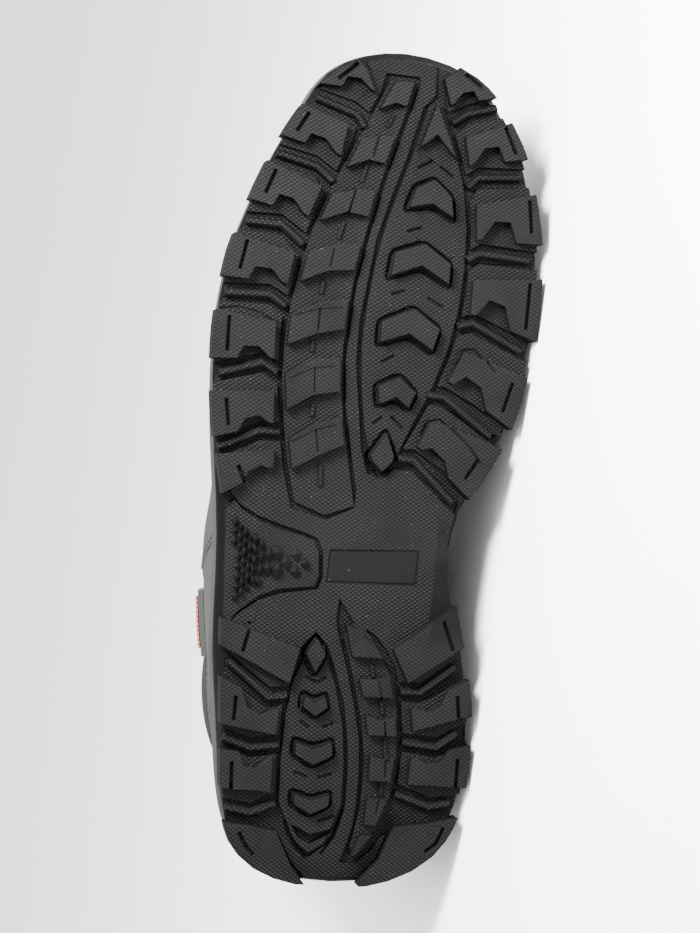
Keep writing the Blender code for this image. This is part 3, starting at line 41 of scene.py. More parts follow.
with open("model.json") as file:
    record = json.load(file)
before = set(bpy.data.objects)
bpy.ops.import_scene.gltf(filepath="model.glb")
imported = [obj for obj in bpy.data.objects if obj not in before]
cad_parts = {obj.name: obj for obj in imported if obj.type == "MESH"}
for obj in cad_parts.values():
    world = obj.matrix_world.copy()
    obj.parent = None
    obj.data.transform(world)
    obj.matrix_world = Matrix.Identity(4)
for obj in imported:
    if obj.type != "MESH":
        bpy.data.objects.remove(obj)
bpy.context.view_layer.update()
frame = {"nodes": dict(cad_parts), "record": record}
MM = 0.001

# The two flat spots of the tread in the boot's own standing axes: x to the
# outer side, y to the toe, z up from the ground, in mm
HEEL_SPOT = Vector((-40.0, 48.0, 0.0))
FORE_SPOT = Vector((-48.0, 185.0, 0.0))


def lying_matrix():
    """Standing axes in mm to the lying boot in metres, from the two tread mounts."""
    mounts = {m["name"]: m for m in frame["record"]["mounts"]}
    heel = Vector(mounts["heel_tread"]["pos_m"])
    fore = Vector(mounts["forefoot_tread"]["pos_m"])
    up = -Vector(mounts["heel_tread"]["axis"]).normalized()

    def basis(along, above):
        side = above.cross(along).normalized()
        return Matrix((along.normalized(), side, above)).transposed()

    turn = basis(fore - heel, up) @ basis(FORE_SPOT - HEEL_SPOT, Vector((0, 0, 1))).transposed()
    move = heel - turn @ (HEEL_SPOT * MM)
    return Matrix.Translation(move) @ turn.to_4x4() @ Matrix.Scale(MM, 4)


LYING = lying_matrix()
STANDING = LYING.inverted()
TURN = LYING.to_3x3().normalized()


def laid(point):
    return LYING @ Vector(point)


# ---- node maths
def joined(operation, swapped=False):
    """A method of Sum that joins a socket with another value."""
    def join(self, other):
        values = (other, self) if swapped else (self, other)
        return self.maths(operation, *values)
    return join


class Sum:
    """A socket that takes part in Python arithmetic."""

    def __init__(self, paint, socket):
        self.paint = paint
        self.socket = socket

    def maths(self, operation, *values):
        return self.paint.node("ShaderNodeMath", {"operation": operation}, *values)

    __add__ = joined("ADD")
    __radd__ = joined("ADD", True)
    __sub__ = joined("SUBTRACT")
    __rsub__ = joined("SUBTRACT", True)
    __mul__ = joined("MULTIPLY")
    __rmul__ = joined("MULTIPLY", True)
    max = joined("MAXIMUM")
    min = joined("MINIMUM")

    def sin(self):
        return self.maths("SINE", self)

    def abs(self):
        return self.maths("ABSOLUTE", self)

    def step(self, low, high):
        """0 below low, 1 above high, smooth between."""
        settings = {"interpolation_type": "SMOOTHSTEP"}
        return self.paint.node("ShaderNodeMapRange", settings, self, low, high, 0.0, 1.0)


class Paint:
    """One material and its nodes."""

    def __init__(self, name):
        self.material = bpy.data.materials.new(name)
        self.material.use_nodes = True
        self.tree = self.material.node_tree
        self.tree.nodes.clear()
        self.shader = self.tree.nodes.new("ShaderNodeBsdfPrincipled")
        self.out = self.tree.nodes.new("ShaderNodeOutputMaterial")
        self.tree.links.new(self.shader.outputs[0], self.out.inputs[0])

    def put(self, socket, value):
        if isinstance(value, Sum):
            self.tree.links.new(value.socket, socket)
        elif value is not None:
            socket.default_value = value

    def node(self, kind, settings, *values, output=0, **named):
        made = self.tree.nodes.new(kind)
        for key, value in settings.items():
            setattr(made, key, value)
        for index, value in enumerate(values):
            self.put(made.inputs[index], value)
        for key, value in named.items():
            self.put(made.inputs[key.replace("_", " ")], value)
        return Sum(self, made.outputs[output])

    def standing(self):
        """Coordinates in the boot's standing axes, in mm."""
        place = self.node("ShaderNodeTexCoord", {}, output="Object")
        move = -(STANDING.to_3x3() @ LYING.translation)
        turn = TURN.transposed().to_euler("XYZ")
        return self.node("ShaderNodeMapping", {"vector_type": "POINT"}, place,
                         tuple(move), tuple(turn), (1000.0, 1000.0, 1000.0))

    def split(self, vector):
        made = self.tree.nodes.new("ShaderNodeSeparateXYZ")
        self.put(made.inputs[0], vector)
        return [Sum(self, made.outputs[k]) for k in range(3)]

    def attribute(self, name):
        return self.node("ShaderNodeAttribute", {"attribute_name": name}, output="Fac")

    def facing(self, direction):
        """How far a face looks along a direction of the lying frame."""
        normal = self.node("ShaderNodeNewGeometry", {}, output="Normal")
        return self.node("ShaderNodeVectorMath", {"operation": "DOT_PRODUCT"},
                         normal, tuple(direction), output="Value")

    def noise(self, place, scale, detail=3.0, rough=0.55, stretch=None):
        if stretch is not None:
            place = self.node("ShaderNodeMapping", {}, place, (0, 0, 0), (0, 0, 0), stretch)
        return self.node("ShaderNodeTexNoise", {}, Vector=place, Scale=scale, Detail=detail,
                         Roughness=rough, output="Fac")

    def blend(self, share, first, second):
        made = self.tree.nodes.new("ShaderNodeMix")
        made.data_type = "RGBA"
        self.put(made.inputs["Factor"], share)
        self.put(made.inputs[6], first if isinstance(first, Sum) else (*first, 1.0))
        self.put(made.inputs[7], second if isinstance(second, Sum) else (*second, 1.0))
        return Sum(self, made.outputs[2])

    def layered(self, base, mottle, low, high, *layers):
        """A base colour in two tones, under layers of (share, tone)."""
        colour = self.blend(mottle, shade(base, low), shade(base, high))
        for share, tone in layers:
            colour = self.blend(share, colour, shade(base, tone))
        return colour

    def bump(self, height, depth, strength=1.0):
        """Relief in mm over Object coordinates in metres."""
        return self.node("ShaderNodeBump", {}, Strength=strength, Distance=depth * MM,
                         Height=height)

    def finish(self, **sockets):
        for key, value in sockets.items():
            self.put(self.shader.inputs[key.replace("_", " ")], value)
        return self.material


def shade(base, factor):
    return tuple(c * factor for c in base)


def linked(name, data):
    item = bpy.data.objects.new(name, data)
    bpy.context.scene.collection.objects.link(item)
    return item


def dress(item, material):
    item.data.materials.clear()
    item.data.materials.append(material)


def keep(item, slot, *nodes):
    """Puts a finished piece on the boot's body."""
    if nodes:
        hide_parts(*nodes)
    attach(item, "root")
    return item


def copy_of(node, name):
    """A merged copy of a CAD node's mesh, in standing axes and mm."""
    source = frame["nodes"][node]
    work = bmesh.new()
    work.from_mesh(source.data)
    bmesh.ops.remove_doubles(work, verts=work.verts, dist=2e-6)
    work.transform(STANDING)
    mesh = bpy.data.meshes.new(name)
    work.to_mesh(mesh)
    work.free()
    return linked(name, mesh)


def apply_modifiers(item):
    graph = bpy.context.evaluated_depsgraph_get()
    mesh = bpy.data.meshes.new_from_object(item.evaluated_get(graph))
    item.modifiers.clear()
    old = item.data
    mesh.name = old.name
    item.data = mesh
    bpy.data.meshes.remove(old)
    return item


def settle(item, material, slot, *nodes, smooth=False):
    """Lays a piece down, shades and dresses it, and puts it on the boot's body."""
    item.data.transform(LYING)
    item.data.update()
    if smooth:
        item.data.shade_smooth()
    dress(item, material)
    keep(item, slot, *nodes)


@contextmanager
def editing(mesh):
    """A mesh opened for bmesh, and written back."""
    work = bmesh.new()
    work.from_mesh(mesh)
    yield work
    work.to_mesh(mesh)
    work.free()


def turned_out(item):
    """Turns the faces of closed shapes outward."""
    with editing(item.data) as work:
        bmesh.ops.recalc_face_normals(work, faces=work.faces)
    return item


# ---- sizes and colours that a user would change
def length(label, note, default, low, high):
    return FloatProperty(name=label, description=note + ", mm", default=default, min=low,
                         max=high)


def tint(label, note, default):
    return FloatVectorProperty(name=label, description=note, subtype="COLOR", size=3,
                               default=default)


class BootSettings(bpy.types.PropertyGroup):
    edge: length("Edge round", "Round of the tread's edges", 0.35, 0.0, 1.0)
    slot_width: length("Slot width", "Width of the slots in the lugs", 1.3, 0.5, 3.0)
    slot_depth: length("Slot depth", "Depth of the slots in the lugs", 1.6, 0.3, 3.0)
    moat_width: length("Moat width", "Width of the groove round each chevron", 1.2, 0.4, 2.0)
    moat_depth: length("Moat depth", "Depth of the groove round each chevron", 1.3, 0.2, 2.0)
    facet_tall: length("Facet height", "Height of the waist's facets", 3.0, 0.5, 4.0)
    stitch_gap: length("Stitch pitch", "From stitch to stitch", 3.3, 1.5, 8.0)
    lace_radius: length("Lace radius", "Half the lace's thickness", 1.6, 0.8, 3.0)
    rubber: tint("Tread rubber", "Colour of the tread", (0.0031, 0.0029, 0.0032))
    wall: tint("Side wall", "Colour of the midsole", (0.0185, 0.0200, 0.0190))
    leather: tint("Leather", "Colour of the upper", (0.027, 0.0262, 0.0248))
    band: tint("Band", "Colour of the woven band on the tab", (0.36, 0.085, 0.065))


# ---- finishes
def knurl(x, y, pitch_x=2.1, pitch_y=1.5):
    """Staggered dots of the rubber's moulded face."""
    across = x * (math.pi / pitch_x)
    along = y * (math.pi / pitch_y)
    return ((across + along).sin() * (across - along).sin()).abs()


# Bare places of the tread, x and y in mm: the plate's middle, and its half sizes from where
# the bareness starts to where it is full
PLATE_MIDDLE = (-4.3, 117.2)
PLATE_HALF_X = (16.6, 15.9)
PLATE_HALF_Y = (6.2, 5.6)
# Depth under the lug faces where the painted shade of the floors, then of the channels, starts
# and is darkest, mm
FLOOR_DEPTH = (0.7, 1.6)
CHANNEL_DEPTH = (3.8, 4.6)
DUST = (0.14, 0.135, 0.13)


def tread_paint(settings):
    paint = Paint("tread_rubber_finish")
    place = paint.standing()
    x, y, _ = paint.split(place)
    down = TURN @ Vector((0.0, 0.0, -1.0))
    flat = paint.facing(down).step(0.80, 0.95)
    # Depth masks for the painted shade in the floors and channels; sunk also sets the knurl's
    # strength
    depth = paint.attribute("sunk")
    sunk = depth.step(*FLOOR_DEPTH)
    channel_shade = depth.step(*CHANNEL_DEPTH)
    plate = ((x - PLATE_MIDDLE[0]).abs().step(*PLATE_HALF_X)
             * (y - PLATE_MIDDLE[1]).abs().step(*PLATE_HALF_Y))
    rim = (x + 0.02 * y).step(-24.5, -25.5) * y.step(138.0, 130.0) * y.step(88.0, 96.0)
    bare = plate.max(rim)
    patch = paint.noise(place, 0.06, 2.0).step(0.36, 0.62)
    dots = knurl(x, y) * flat * (1.0 - bare)
    dots = dots * (0.45 + 0.35 * sunk + 0.35 * patch)
    cloud = paint.noise(place, 0.045, 3.0)
    grain = paint.noise(place, 2.6, 4.0, 0.7)
    wear = paint.noise(place, 0.35, 5.0, 0.7)
    dust = paint.noise(place, 1.5, 2.0, 0.5).step(0.745, 0.765)
    base = tuple(settings.rubber)
    # Floors and channels are painted darker by depth: painted shade in the recesses
    colour = paint.layered(base, cloud.step(0.35, 0.65), 0.85, 1.25, (sunk * 0.55, 0.45),
                           (channel_shade * 0.85, 0.12), (plate * 0.8, 1.1), (dots * 0.75, 3.6),
                           (wear.step(0.55, 0.8) * 0.25, 2.4))
    colour = paint.blend(dust * 0.45, colour, DUST)
    relief = dots * 0.34 + grain * 0.12
    return paint.finish(Base_Color=colour, Roughness=0.58 + grain * 0.2 - dots * 0.12,
                        Specular_IOR_Level=0.045, Normal=paint.bump(relief, 1.0, 1.0))


def wall_paint(settings):
    paint = Paint("midsole_rubber_finish")
    place = paint.standing()
    cloud = paint.noise(place, 0.05, 3.0)
    grain = paint.noise(place, 3.2, 4.0, 0.65)
    streak = paint.noise(place, 0.5, 3.0, 0.6, (1.0, 1.0, 0.12))
    base = tuple(settings.wall)
    colour = paint.layered(base, cloud.step(0.3, 0.7), 0.82, 1.25,
                           (streak.step(0.45, 0.75) * 0.3, 1.6))
    return paint.finish(Base_Color=colour, Roughness=0.55 + grain * 0.22,
                        Specular_IOR_Level=0.09,
                        Normal=paint.bump(grain * 0.08 + streak * 0.10, 1.0, 1.0))


def leather_paint(name, base, panels=True):
    """Napped leather; the panels' edges and the lining come from the piece's attributes."""
    paint = Paint(name)
    place = paint.standing()
    cloud = paint.noise(place, 0.035, 4.0)
    nap = paint.noise(place, 1.1, 5.0, 0.7)
    hair = paint.noise(place, 2.0, 3.0, 0.6, (1.0, 0.25, 1.0))
    grain = paint.node("ShaderNodeTexVoronoi", {"feature": "F1"}, Vector=place, Scale=0.9,
                       output="Distance")
    layers = [(nap.step(0.35, 0.8) * 0.30, 0.62)]
    relief = nap * 0.10 + grain * 0.10 + hair * 0.06
    rough = 0.80 + nap * 0.12
    if panels:
        smooth = paint.attribute("smooth_panel")
        strong = paint.attribute("strong_panel")
        soft = paint.attribute("collar_panel")
        lining = paint.attribute("lining").step(0.35, 0.65)
        over = smooth.max(strong)
        _, y, z = paint.split(place)
        weave = knurl(y + z, y - z, 1.5, 1.5)
        cloth = soft.step(-0.15, 0.15).max(lining)
        seam = 1.0 - over.abs().min(soft.abs()).step(0.0, 0.55)
        layers += [(smooth.step(-0.15, 0.15) * 0.85, 0.72),
                   (strong.step(-0.15, 0.15) * 0.92, 0.16),
                   (cloth * 0.94, 0.13), (seam * 0.75, 0.10)]
        relief = relief * (1.0 - cloth * 0.6) + over.step(-0.5, 0.3) * 0.9
        relief = relief + weave * cloth * 0.35 - seam * 0.30
    colour = paint.layered(base, cloud.step(0.3, 0.7), 0.84, 1.12, *layers)
    return paint.finish(Base_Color=colour, Roughness=rough, Specular_IOR_Level=0.25,
                        Normal=paint.bump(relief, 1.0, 0.9))


def plain_paint(name, base, roughness, relief=0.05, scale=3.0, metallic=0.0):
    paint = Paint(name)
    place = paint.standing()
    grain = paint.noise(place, scale, 4.0, 0.6)
    colour = paint.layered(base, grain.step(0.3, 0.7), 0.85, 1.15)
    return paint.finish(Base_Color=colour, Roughness=roughness + (grain - 0.5) * 0.15,
                        Metallic=metallic, Normal=paint.bump(grain, relief, 1.0))


def weave_paint(name, base, pitch, relief=0.25):
    """Plain cloth weave over the boot's length and height."""
    paint = Paint(name)
    place = paint.standing()
    _, y, z = paint.split(place)
    warp = (y * (math.pi / pitch)).sin()
    weft = (z * (math.pi / pitch)).sin()
    cross = warp * weft
    grain = paint.noise(place, 2.2, 4.0, 0.6)
    colour = paint.layered(base, cross.step(-0.6, 0.6), 0.62, 1.25,
                           (grain.step(0.5, 0.8) * 0.3, 0.7))
    return paint.finish(Base_Color=colour, Roughness=0.82, Specular_IOR_Level=0.25,
                        Normal=paint.bump(cross * relief + grain * 0.1, 1.0, 1.0))


def cord_paint(name, base):
    """Braid over a cord whose own map runs along it and round it, in turns of the cord."""
    paint = Paint(name)
    spot = paint.node("ShaderNodeUVMap", {"uv_map": "along"})
    u, v, _ = paint.split(spot)
    left = ((u * 5.0 + v * 6.0) * math.tau).sin()
    right = ((u * 5.0 - v * 6.0) * math.tau).sin()
    braid = left.max(right)
    fibre = ((u * 40.0 + v * 30.0) * math.tau).sin()
    colour = paint.layered(base, braid.step(0.1, 0.9), 0.45, 1.2)
    return paint.finish(Base_Color=colour, Roughness=0.85, Specular_IOR_Level=0.2,
                        Normal=paint.bump(braid * 0.30 + fibre * 0.04, 1.0, 1.0))


# ---- forms
def new_item(name, points, faces=(), edges=()):
    mesh = bpy.data.meshes.new(name)
    mesh.from_pydata([tuple(p) for p in points], list(edges), list(faces))
    return linked(name, mesh)


def corners(path, closed):
    """Side direction at every point of a path, longer where it turns."""
    sides = []
    count = len(path)
    for k in range(count):
        before = path[k - 1] if closed or k > 0 else None
        after = path[(k + 1) % count] if closed or k < count - 1 else None
        ways = []
        if before is not None:
            ways.append((path[k] - before).normalized())
        if after is not None:
            ways.append((after - path[k]).normalized())
        normals = [Vector((-w.y, w.x)) for w in ways]
        middle = sum(normals, Vector((0.0, 0.0))).normalized()
        sides.append(middle / max(0.45, middle.dot(normals[0])))
    return sides


def grown(outline, distance):
    """A closed outline moved outward."""
    path = [Vector(p) for p in outline]
    area = sum(a.x * b.y - a.y * b.x for a, b in zip(path, path[1:] + path[:1]))
    turn = -1.0 if area > 0.0 else 1.0
    return [p + s * distance * turn for p, s in zip(path, corners(path, True))]


def rounded(outline, radius, parts=4):
    """A closed outline with its corners rounded off."""
    made = []
    count = len(outline)
    for k in range(count):
        before, here, after = (Vector(outline[(k + d) % count]) for d in (-1, 0, 1))
        first = here + (before - here) * min(0.4, radius / (before - here).length)
        last = here + (after - here) * min(0.4, radius / (after - here).length)
        for part in range(parts + 1):
            share = part / parts
            spot = (first * (1 - share) ** 2 + here * 2 * share * (1 - share)
                    + last * share ** 2)
            made.append((spot.x, spot.y))
    return made


def resampled(path, closed, step):
    ends = path + path[:1] if closed else path
    points = []
    for a, b in zip(ends, ends[1:]):
        count = max(1, math.ceil((b - a).length / step))
        points.extend(a.lerp(b, k / count) for k in range(count))
    if not closed:
        points.append(ends[-1])
    return points


class Ground:
    """Levels of the tread's underside, in standing mm."""

    PITCH = 2.0
    LOW = (-70.0, -6.0)
    SIZE = (72, 162)
    REACH = 6

    def __init__(self):
        graph = bpy.context.evaluated_depsgraph_get()
        self.tree = BVHTree.FromObject(frame["nodes"]["outsole"], graph)
        self.up = TURN @ Vector((0.0, 0.0, 1.0))
        wide, tall = self.SIZE
        raw = [[self.level(self.LOW[0] + i * self.PITCH, self.LOW[1] + j * self.PITCH)
                for j in range(tall)] for i in range(wide)]
        reach = self.REACH
        rows = [[min(row[max(0, j - reach):j + reach + 1]) for j in range(tall)] for row in raw]
        low = [[min(rows[n][j] for n in range(max(0, i - reach), min(wide, i + reach + 1)))
                for j in range(tall)] for i in range(wide)]
        for _ in range(2):
            low = [[sum(low[n][m] for n in (max(0, i - 2), i, min(wide - 1, i + 2))
                        for m in (max(0, j - 2), j, min(tall - 1, j + 2))) / 9.0
                    for j in range(tall)] for i in range(wide)]
        self.low = low

    def level(self, x, y, missing=40.0):
        hit = self.tree.ray_cast(laid((x, y, -30.0)), self.up)
        return (STANDING @ hit[0]).z if hit[0] is not None else missing

    def face(self, x, y):
        """The smooth face that the lugs reach."""
        u = min(max((x - self.LOW[0]) / self.PITCH, 0.0), self.SIZE[0] - 1.001)
        v = min(max((y - self.LOW[1]) / self.PITCH, 0.0), self.SIZE[1] - 1.001)
        i, j = int(u), int(v)
        a, b = u - i, v - j
        low = self.low
        return ((low[i][j] * (1 - a) + low[i + 1][j] * a) * (1 - b)
                + (low[i][j + 1] * (1 - a) + low[i + 1][j + 1] * a) * b)


def swept(ground, path, closed, profile, step=3.0):
    """A profile of (mm to the side, mm over the rubber) swept along a path."""
    path = resampled([Vector(p) for p in path], closed, step)
    sides = corners(path, closed)
    half = max(abs(p[0]) for p in profile)
    points = []
    for spot, side in zip(path, sides):
        level = max(ground.level(q.x, q.y, 0.0) for q in (spot, spot + side * half * 0.9,
                                                          spot - side * half * 0.9))
        points.extend(Vector((spot.x + side.x * a, spot.y + side.y * a, level + b))
                      for a, b in profile)
    wide = len(profile)
    count = len(path)
    faces = []
    for k in range(count if closed else count - 1):
        n = (k + 1) % count
        faces.extend((k * wide + m, k * wide + (m + 1) % wide, n * wide + (m + 1) % wide,
                      n * wide + m) for m in range(wide))
    if not closed:
        faces.append(tuple(range(wide)))
        faces.append(tuple((count - 1) * wide + m for m in reversed(range(wide))))
    return points, faces


def gathered(name, shapes):
    """Closed shapes as one object."""
    points, faces = [], []
    for some, more in shapes:
        start = len(points)
        points.extend(some)
        faces.extend(tuple(start + k for k in face) for face in more)
    return turned_out(new_item(name, points, faces))


def groove(width, depth):
    half = width / 2.0
    return ((-half, -CUTTER_TOP), (half, -CUTTER_TOP), (half, 0.1), (half * 0.75, depth),
            (-half * 0.75, depth), (-half, 0.1))


def rib(width, height):
    half = width / 2.0
    return ((-half, 0.5), (-half, -height * 0.6), (-half * 0.5, -height),
            (half * 0.5, -height), (half, -height * 0.6), (half, 0.5))


def pairs(numbers):
    return [(numbers[k], numbers[k + 1]) for k in range(0, len(numbers), 2)]


# ---- the tread's lines, x and y in mm in the boot's standing axes
# Slots in the lug tops
SLOTS = (
    (12, 301, 19.5, 294), (30, 280, 34.5, 272.5), (41.5, 257.5, 45, 248.5),
    (50.5, 231, 52.5, 220.5), (55, 203.5, 55, 191), (54, 174, 52.5, 164.5),
    (48, 150.5, 45, 144.5), (-28.5, 301, -34.5, 296.5), (-43.5, 282, -47.5, 272),
    (-53, 255, -54, 243), (-54.5, 224.5, -54, 207.5), (-50.6, 187.7, -47.6, 176.9),
    (-39.9, 159, -35.4, 151.5), (39, 94.8, 41.4, 84.2), (42.6, 68.1, 42.8, 59.5),
    (42.4, 44.8, 41.9, 34.9), (38, 19.7, 35.5, 15.1, 32, 11.4),
    (-31.5, 99.3, -35.8, 88.9), (-38.6, 72.5, -39.7, 64.5), (-40.4, 49.6, -40.4, 38.8),
    (-36.9, 24.3, -34.7, 18.6, -30.8, 15.3),
)
# Chevrons of the inner lane and of the heel's lens: medial, middle and lateral corner of the
# front edge, then the same of the rear edge from the lateral side back
CHEVRONS = (
    (-23.8, 253.5, -17.3, 259.5, -10.7, 256, -8.1, 248.5, -16.5, 250.5, -24.5, 246),
    (-24.4, 229, -14.5, 235.5, -3.8, 231.5, -2.6, 223, -13.8, 227.5, -24.2, 221.5),
    (-22, 205, -12.1, 211.5, -0.6, 206, -0.5, 198.5, -10.9, 202.5, -19.8, 197),
    (-14.9, 181.3, -8.7, 186.6, -1, 182.7, -1.9, 176.4, -7.7, 179.2, -12.6, 175.6),
    (-8.6, 157.6, -5.3, 165.6, 0, 157.6, -0.8, 155.4, -4.5, 151.9, -8, 155.4),
    (11.5, 85.8, 14.6, 90.3, 17.6, 85.8, 18, 84.5, 14.5, 78, 11.1, 84.5),
    (10.1, 69.6, 13.6, 67.3, 17.5, 69.6, 18, 65.7, 13.3, 62.4, 9, 65.7),
    (6.5, 53.2, 12.8, 50.6, 19.4, 52.8, 19.5, 48.3, 12.6, 44.8, 5.9, 48.7),
    (5.9, 34.2, 12.4, 32, 19, 34.2, 18.8, 30.5, 12.4, 27, 6.1, 30.5),
)
# Short cuts between the chevrons, and the outline of the lens at the heel
SIPES = (
    (-11.3, 263.6, -16.5, 266.7), (-19.7, 265, -24.6, 261.6), (-8.2, 239.7, -13.5, 241.7),
    (-19.3, 240.8, -24.6, 238.5), (-3.7, 216.3, -8.6, 218.1), (-17.4, 216.1, -23.3, 213.3),
    (-1.8, 191.6, -6.4, 194.3), (-0.4, 169, -3.7, 172), (-6.9, 172.2, -11.5, 168.3),
    (18.1, 60.1, 14.6, 58), (9.6, 58.3, 6, 60), (19, 41.7, 14.1, 40.1), (10.2, 40.1, 5.2, 41.6),
    (18.7, 26.9, 14.3, 24.3), (9, 24.2, 3.2, 26.6), (17.1, 76.2, 13, 74.2, 9.8, 76.6),
    (21, 24, 18.9, 18.8, 12.5, 10.9), (0, 28.6, 2.6, 19, 7, 12.3),
)
# Middle lines of the outer lane's and the crescent's blocks, and edges of the stepped lugs
FINE_LINES = (
    (3.8, 273.8, 5.9, 265.8), (12, 252.7, 14.2, 244.3), (18.8, 230.8, 19.8, 224.3),
    (22.5, 208.8, 22.7, 201.1), (22.8, 187.2, 22.4, 178.8), (20.8, 165.4, 19.4, 157.5),
    (-9.1, 76.3, -10.7, 70.3), (-12.5, 62, -13.2, 56), (-13.8, 47.7, -14, 41.6),
    (-12.4, 33.5, -11.6, 28.2), (-29.3, 193, -31.3, 198.2, -36.1, 199, -43.9, 191),
    (-18.6, 166.5, -20.6, 171.3, -25.3, 172.4, -36.4, 163.1, -40.9, 157.2),
    (58.0, 206.0, 51.9, 207.2, 43.3, 205.6, 36.0, 202.0),
)
# Ribs on the lane floors behind the blocks, and along the blocks' front edges
FLOOR_RIBS = (
    (-1.9, 282.7, 0.7, 277.7), (7.8, 262.8, 9.6, 256.4), (15.4, 241.1, 17.1, 234.8),
    (21.5, 219.0, 22.1, 214.5), (23.8, 197.2, 23.9, 193.4), (22.1, 174.2, 22.2, 170),
    (17.7, 152.9, 17.2, 145.2), (-6.5, 81.9, -7.4, 77.5), (-10.8, 69.4, -11.8, 64.4),
    (-13.3, 55, -14.1, 48.4), (-13.1, 39.7, -13.4, 34.7),
)
EDGE_RIBS = (
    (33.2, 205.0, 29.5, 207.0, 22.6, 209.2, 14.8, 210.0),
    (32.0, 183.3, 24.1, 187.6, 15.6, 189.0), (29.5, 160.8, 21.6, 165.5, 13.6, 168.0),
)
PLATE = (12.3, 110.8, -20.6, 111.8, -21.0, 124.0, 11.6, 122.0)
HEEL_POCKET = (18.6, 22.6, 11.7, 19.4, 3.1, 21.8, 4.9, 19.4, 11.3, 15.8, 16.1, 18.4)
FACETS = (48.6, 132.3, 40.3, 127.2, 36.6, 125.4, 30.3, 123.2, 25.8, 122.4, 22.6, 121.6,
          18.8, 115, 19.3, 113.3, 29.4, 111.1, 33.6, 109, 38.8, 107.4, 42.1, 103.9, 46.2, 100.2)


MOAT_GAP = 0.45         # between a chevron and its moat
MOAT_ROUND = 2.0        # round of a moat's corners
SIPE_CUT = (0.9, 0.8)   # width and depth
FINE_CUT = (0.55, 0.5)
PLATE_CUT = (0.6, 0.45)
FLOOR_RIB = (1.6, 0.9)  # width and height
EDGE_RIB = (0.7, 0.35)
POCKET_DEPTH = 1.4
CUTTER_TOP = 4.0        # how far a cutter stands out of the rubber


def tread_cutters(settings, ground):
    """Everything that is sunk into the tread."""
    slot = groove(settings.slot_width, settings.slot_depth)
    moat = groove(settings.moat_width, settings.moat_depth)
    shapes = [swept(ground, pairs(line), False, slot) for line in SLOTS]
    for outline in CHEVRONS:
        line = rounded(grown(pairs(outline), MOAT_GAP + settings.moat_width / 2.0), MOAT_ROUND)
        shapes.append(swept(ground, line, True, moat))
    for lines, cut in ((SIPES, SIPE_CUT), (FINE_LINES, FINE_CUT)):
        shapes.extend(swept(ground, pairs(line), False, groove(*cut)) for line in lines)
    shapes.append(swept(ground, pairs(PLATE), True, groove(*PLATE_CUT)))
    pocket = [Vector(p) for p in pairs(HEEL_POCKET)]
    level = max(ground.level(p.x, p.y, 0.0) for p in pocket)
    count = len(pocket)
    points = [Vector((p.x, p.y, level - CUTTER_TOP)) for p in pocket]
    points += [Vector((p.x, p.y, level + POCKET_DEPTH)) for p in pocket]
    faces = [tuple(reversed(range(count))), tuple(range(count, 2 * count))]
    faces += [(k, (k + 1) % count, count + (k + 1) % count, count + k) for k in range(count)]
    shapes.append((points, faces))
    return gathered("cutters", shapes)


def mark_sunk(item, ground):
    """Depth of each point under the lug faces, for painted recess shade and knurl strength."""
    layer = item.data.attributes.new("sunk", "FLOAT", "POINT")
    for index, vertex in enumerate(item.data.vertices):
        x, y, z = vertex.co
        layer.data[index].value = z - ground.face(x, y)


# ---- geometry nodes
class Tree:
    """A node tree for geometry, with its made-up inputs by name."""

    def __init__(self, name, inputs):
        self.tree = bpy.data.node_groups.new(name, "GeometryNodeTree")
        face = self.tree.interface
        face.new_socket("Geometry", in_out="INPUT", socket_type="NodeSocketGeometry")
        self.keys = {}
        for label, kind, value in inputs:
            socket = face.new_socket(label, in_out="INPUT", socket_type=kind)
            self.keys[label] = (socket.identifier, value)
        face.new_socket("Geometry", in_out="OUTPUT", socket_type="NodeSocketGeometry")
        self.start = self.tree.nodes.new("NodeGroupInput")
        self.end = self.tree.nodes.new("NodeGroupOutput")

    def node(self, kind, settings=(), **links):
        made = self.tree.nodes.new(kind)
        for key, value in dict(settings).items():
            setattr(made, key, value)
        for key, value in links.items():
            socket = made.inputs[key.replace("_", " ")]
            if isinstance(value, bpy.types.NodeSocket):
                self.tree.links.new(value, socket)
            else:
                socket.default_value = value
        return made

    def given(self, label):
        return self.start.outputs[label]

    def chance(self, low, high):
        made = self.node("FunctionNodeRandomValue", {"data_type": "FLOAT"},
                         Seed=self.given("Seed"))
        made.inputs[2].default_value = low
        made.inputs[3].default_value = high
        return made.outputs[1]

    def scatter(self, item, shape, material, points, **turn_and_size):
        """A shape on points, run on an item and kept as plain mesh."""
        info = self.node("GeometryNodeObjectInfo", Object=self.given("Shape"))
        spread = self.node("GeometryNodeInstanceOnPoints", Points=points,
                           Instance=info.outputs["Geometry"], **turn_and_size)
        real = self.node("GeometryNodeRealizeInstances", Geometry=spread.outputs[0])
        paint = self.node("GeometryNodeSetMaterial", Geometry=real.outputs[0],
                          Material=material)
        self.tree.links.new(paint.outputs[0], self.end.inputs[0])
        run = item.modifiers.new("nodes", "NODES")
        run.node_group = self.tree
        for identifier, value in self.keys.values():
            run[identifier] = value
        apply_modifiers(item)
        bpy.data.objects.remove(shape)
        return item


def facet_shape():
    """Pointed four-sided facet, its point toward the ground, one unit wide and long."""
    points = [(-0.5, 0.0, 0.3), (0.0, -0.5, 0.3), (0.5, 0.0, 0.3), (0.0, 0.5, 0.3),
              (0.04, 0.08, -1.0)]
    faces = [(0, 1, 2, 3), (1, 0, 4), (2, 1, 4), (3, 2, 4), (0, 3, 4)]
    return turned_out(new_item("facet", points, faces))


def inside(point, outline):
    x, y = point
    within = False
    for (ax, ay), (bx, by) in zip(outline, outline[1:] + outline[:1]):
        if (ay > y) != (by > y) and x < (bx - ax) * (y - ay) / (by - ay) + ax:
            within = not within
    return within


def edge_distance(point, outline):
    spot = Vector(point)
    best = 1e9
    for a, b in zip(outline, outline[1:] + outline[:1]):
        a, b = Vector(a), Vector(b)
        way = b - a
        share = min(max((spot - a).dot(way) / way.length_squared, 0.0), 1.0)
        best = min(best, (spot - a - way * share).length)
    return best


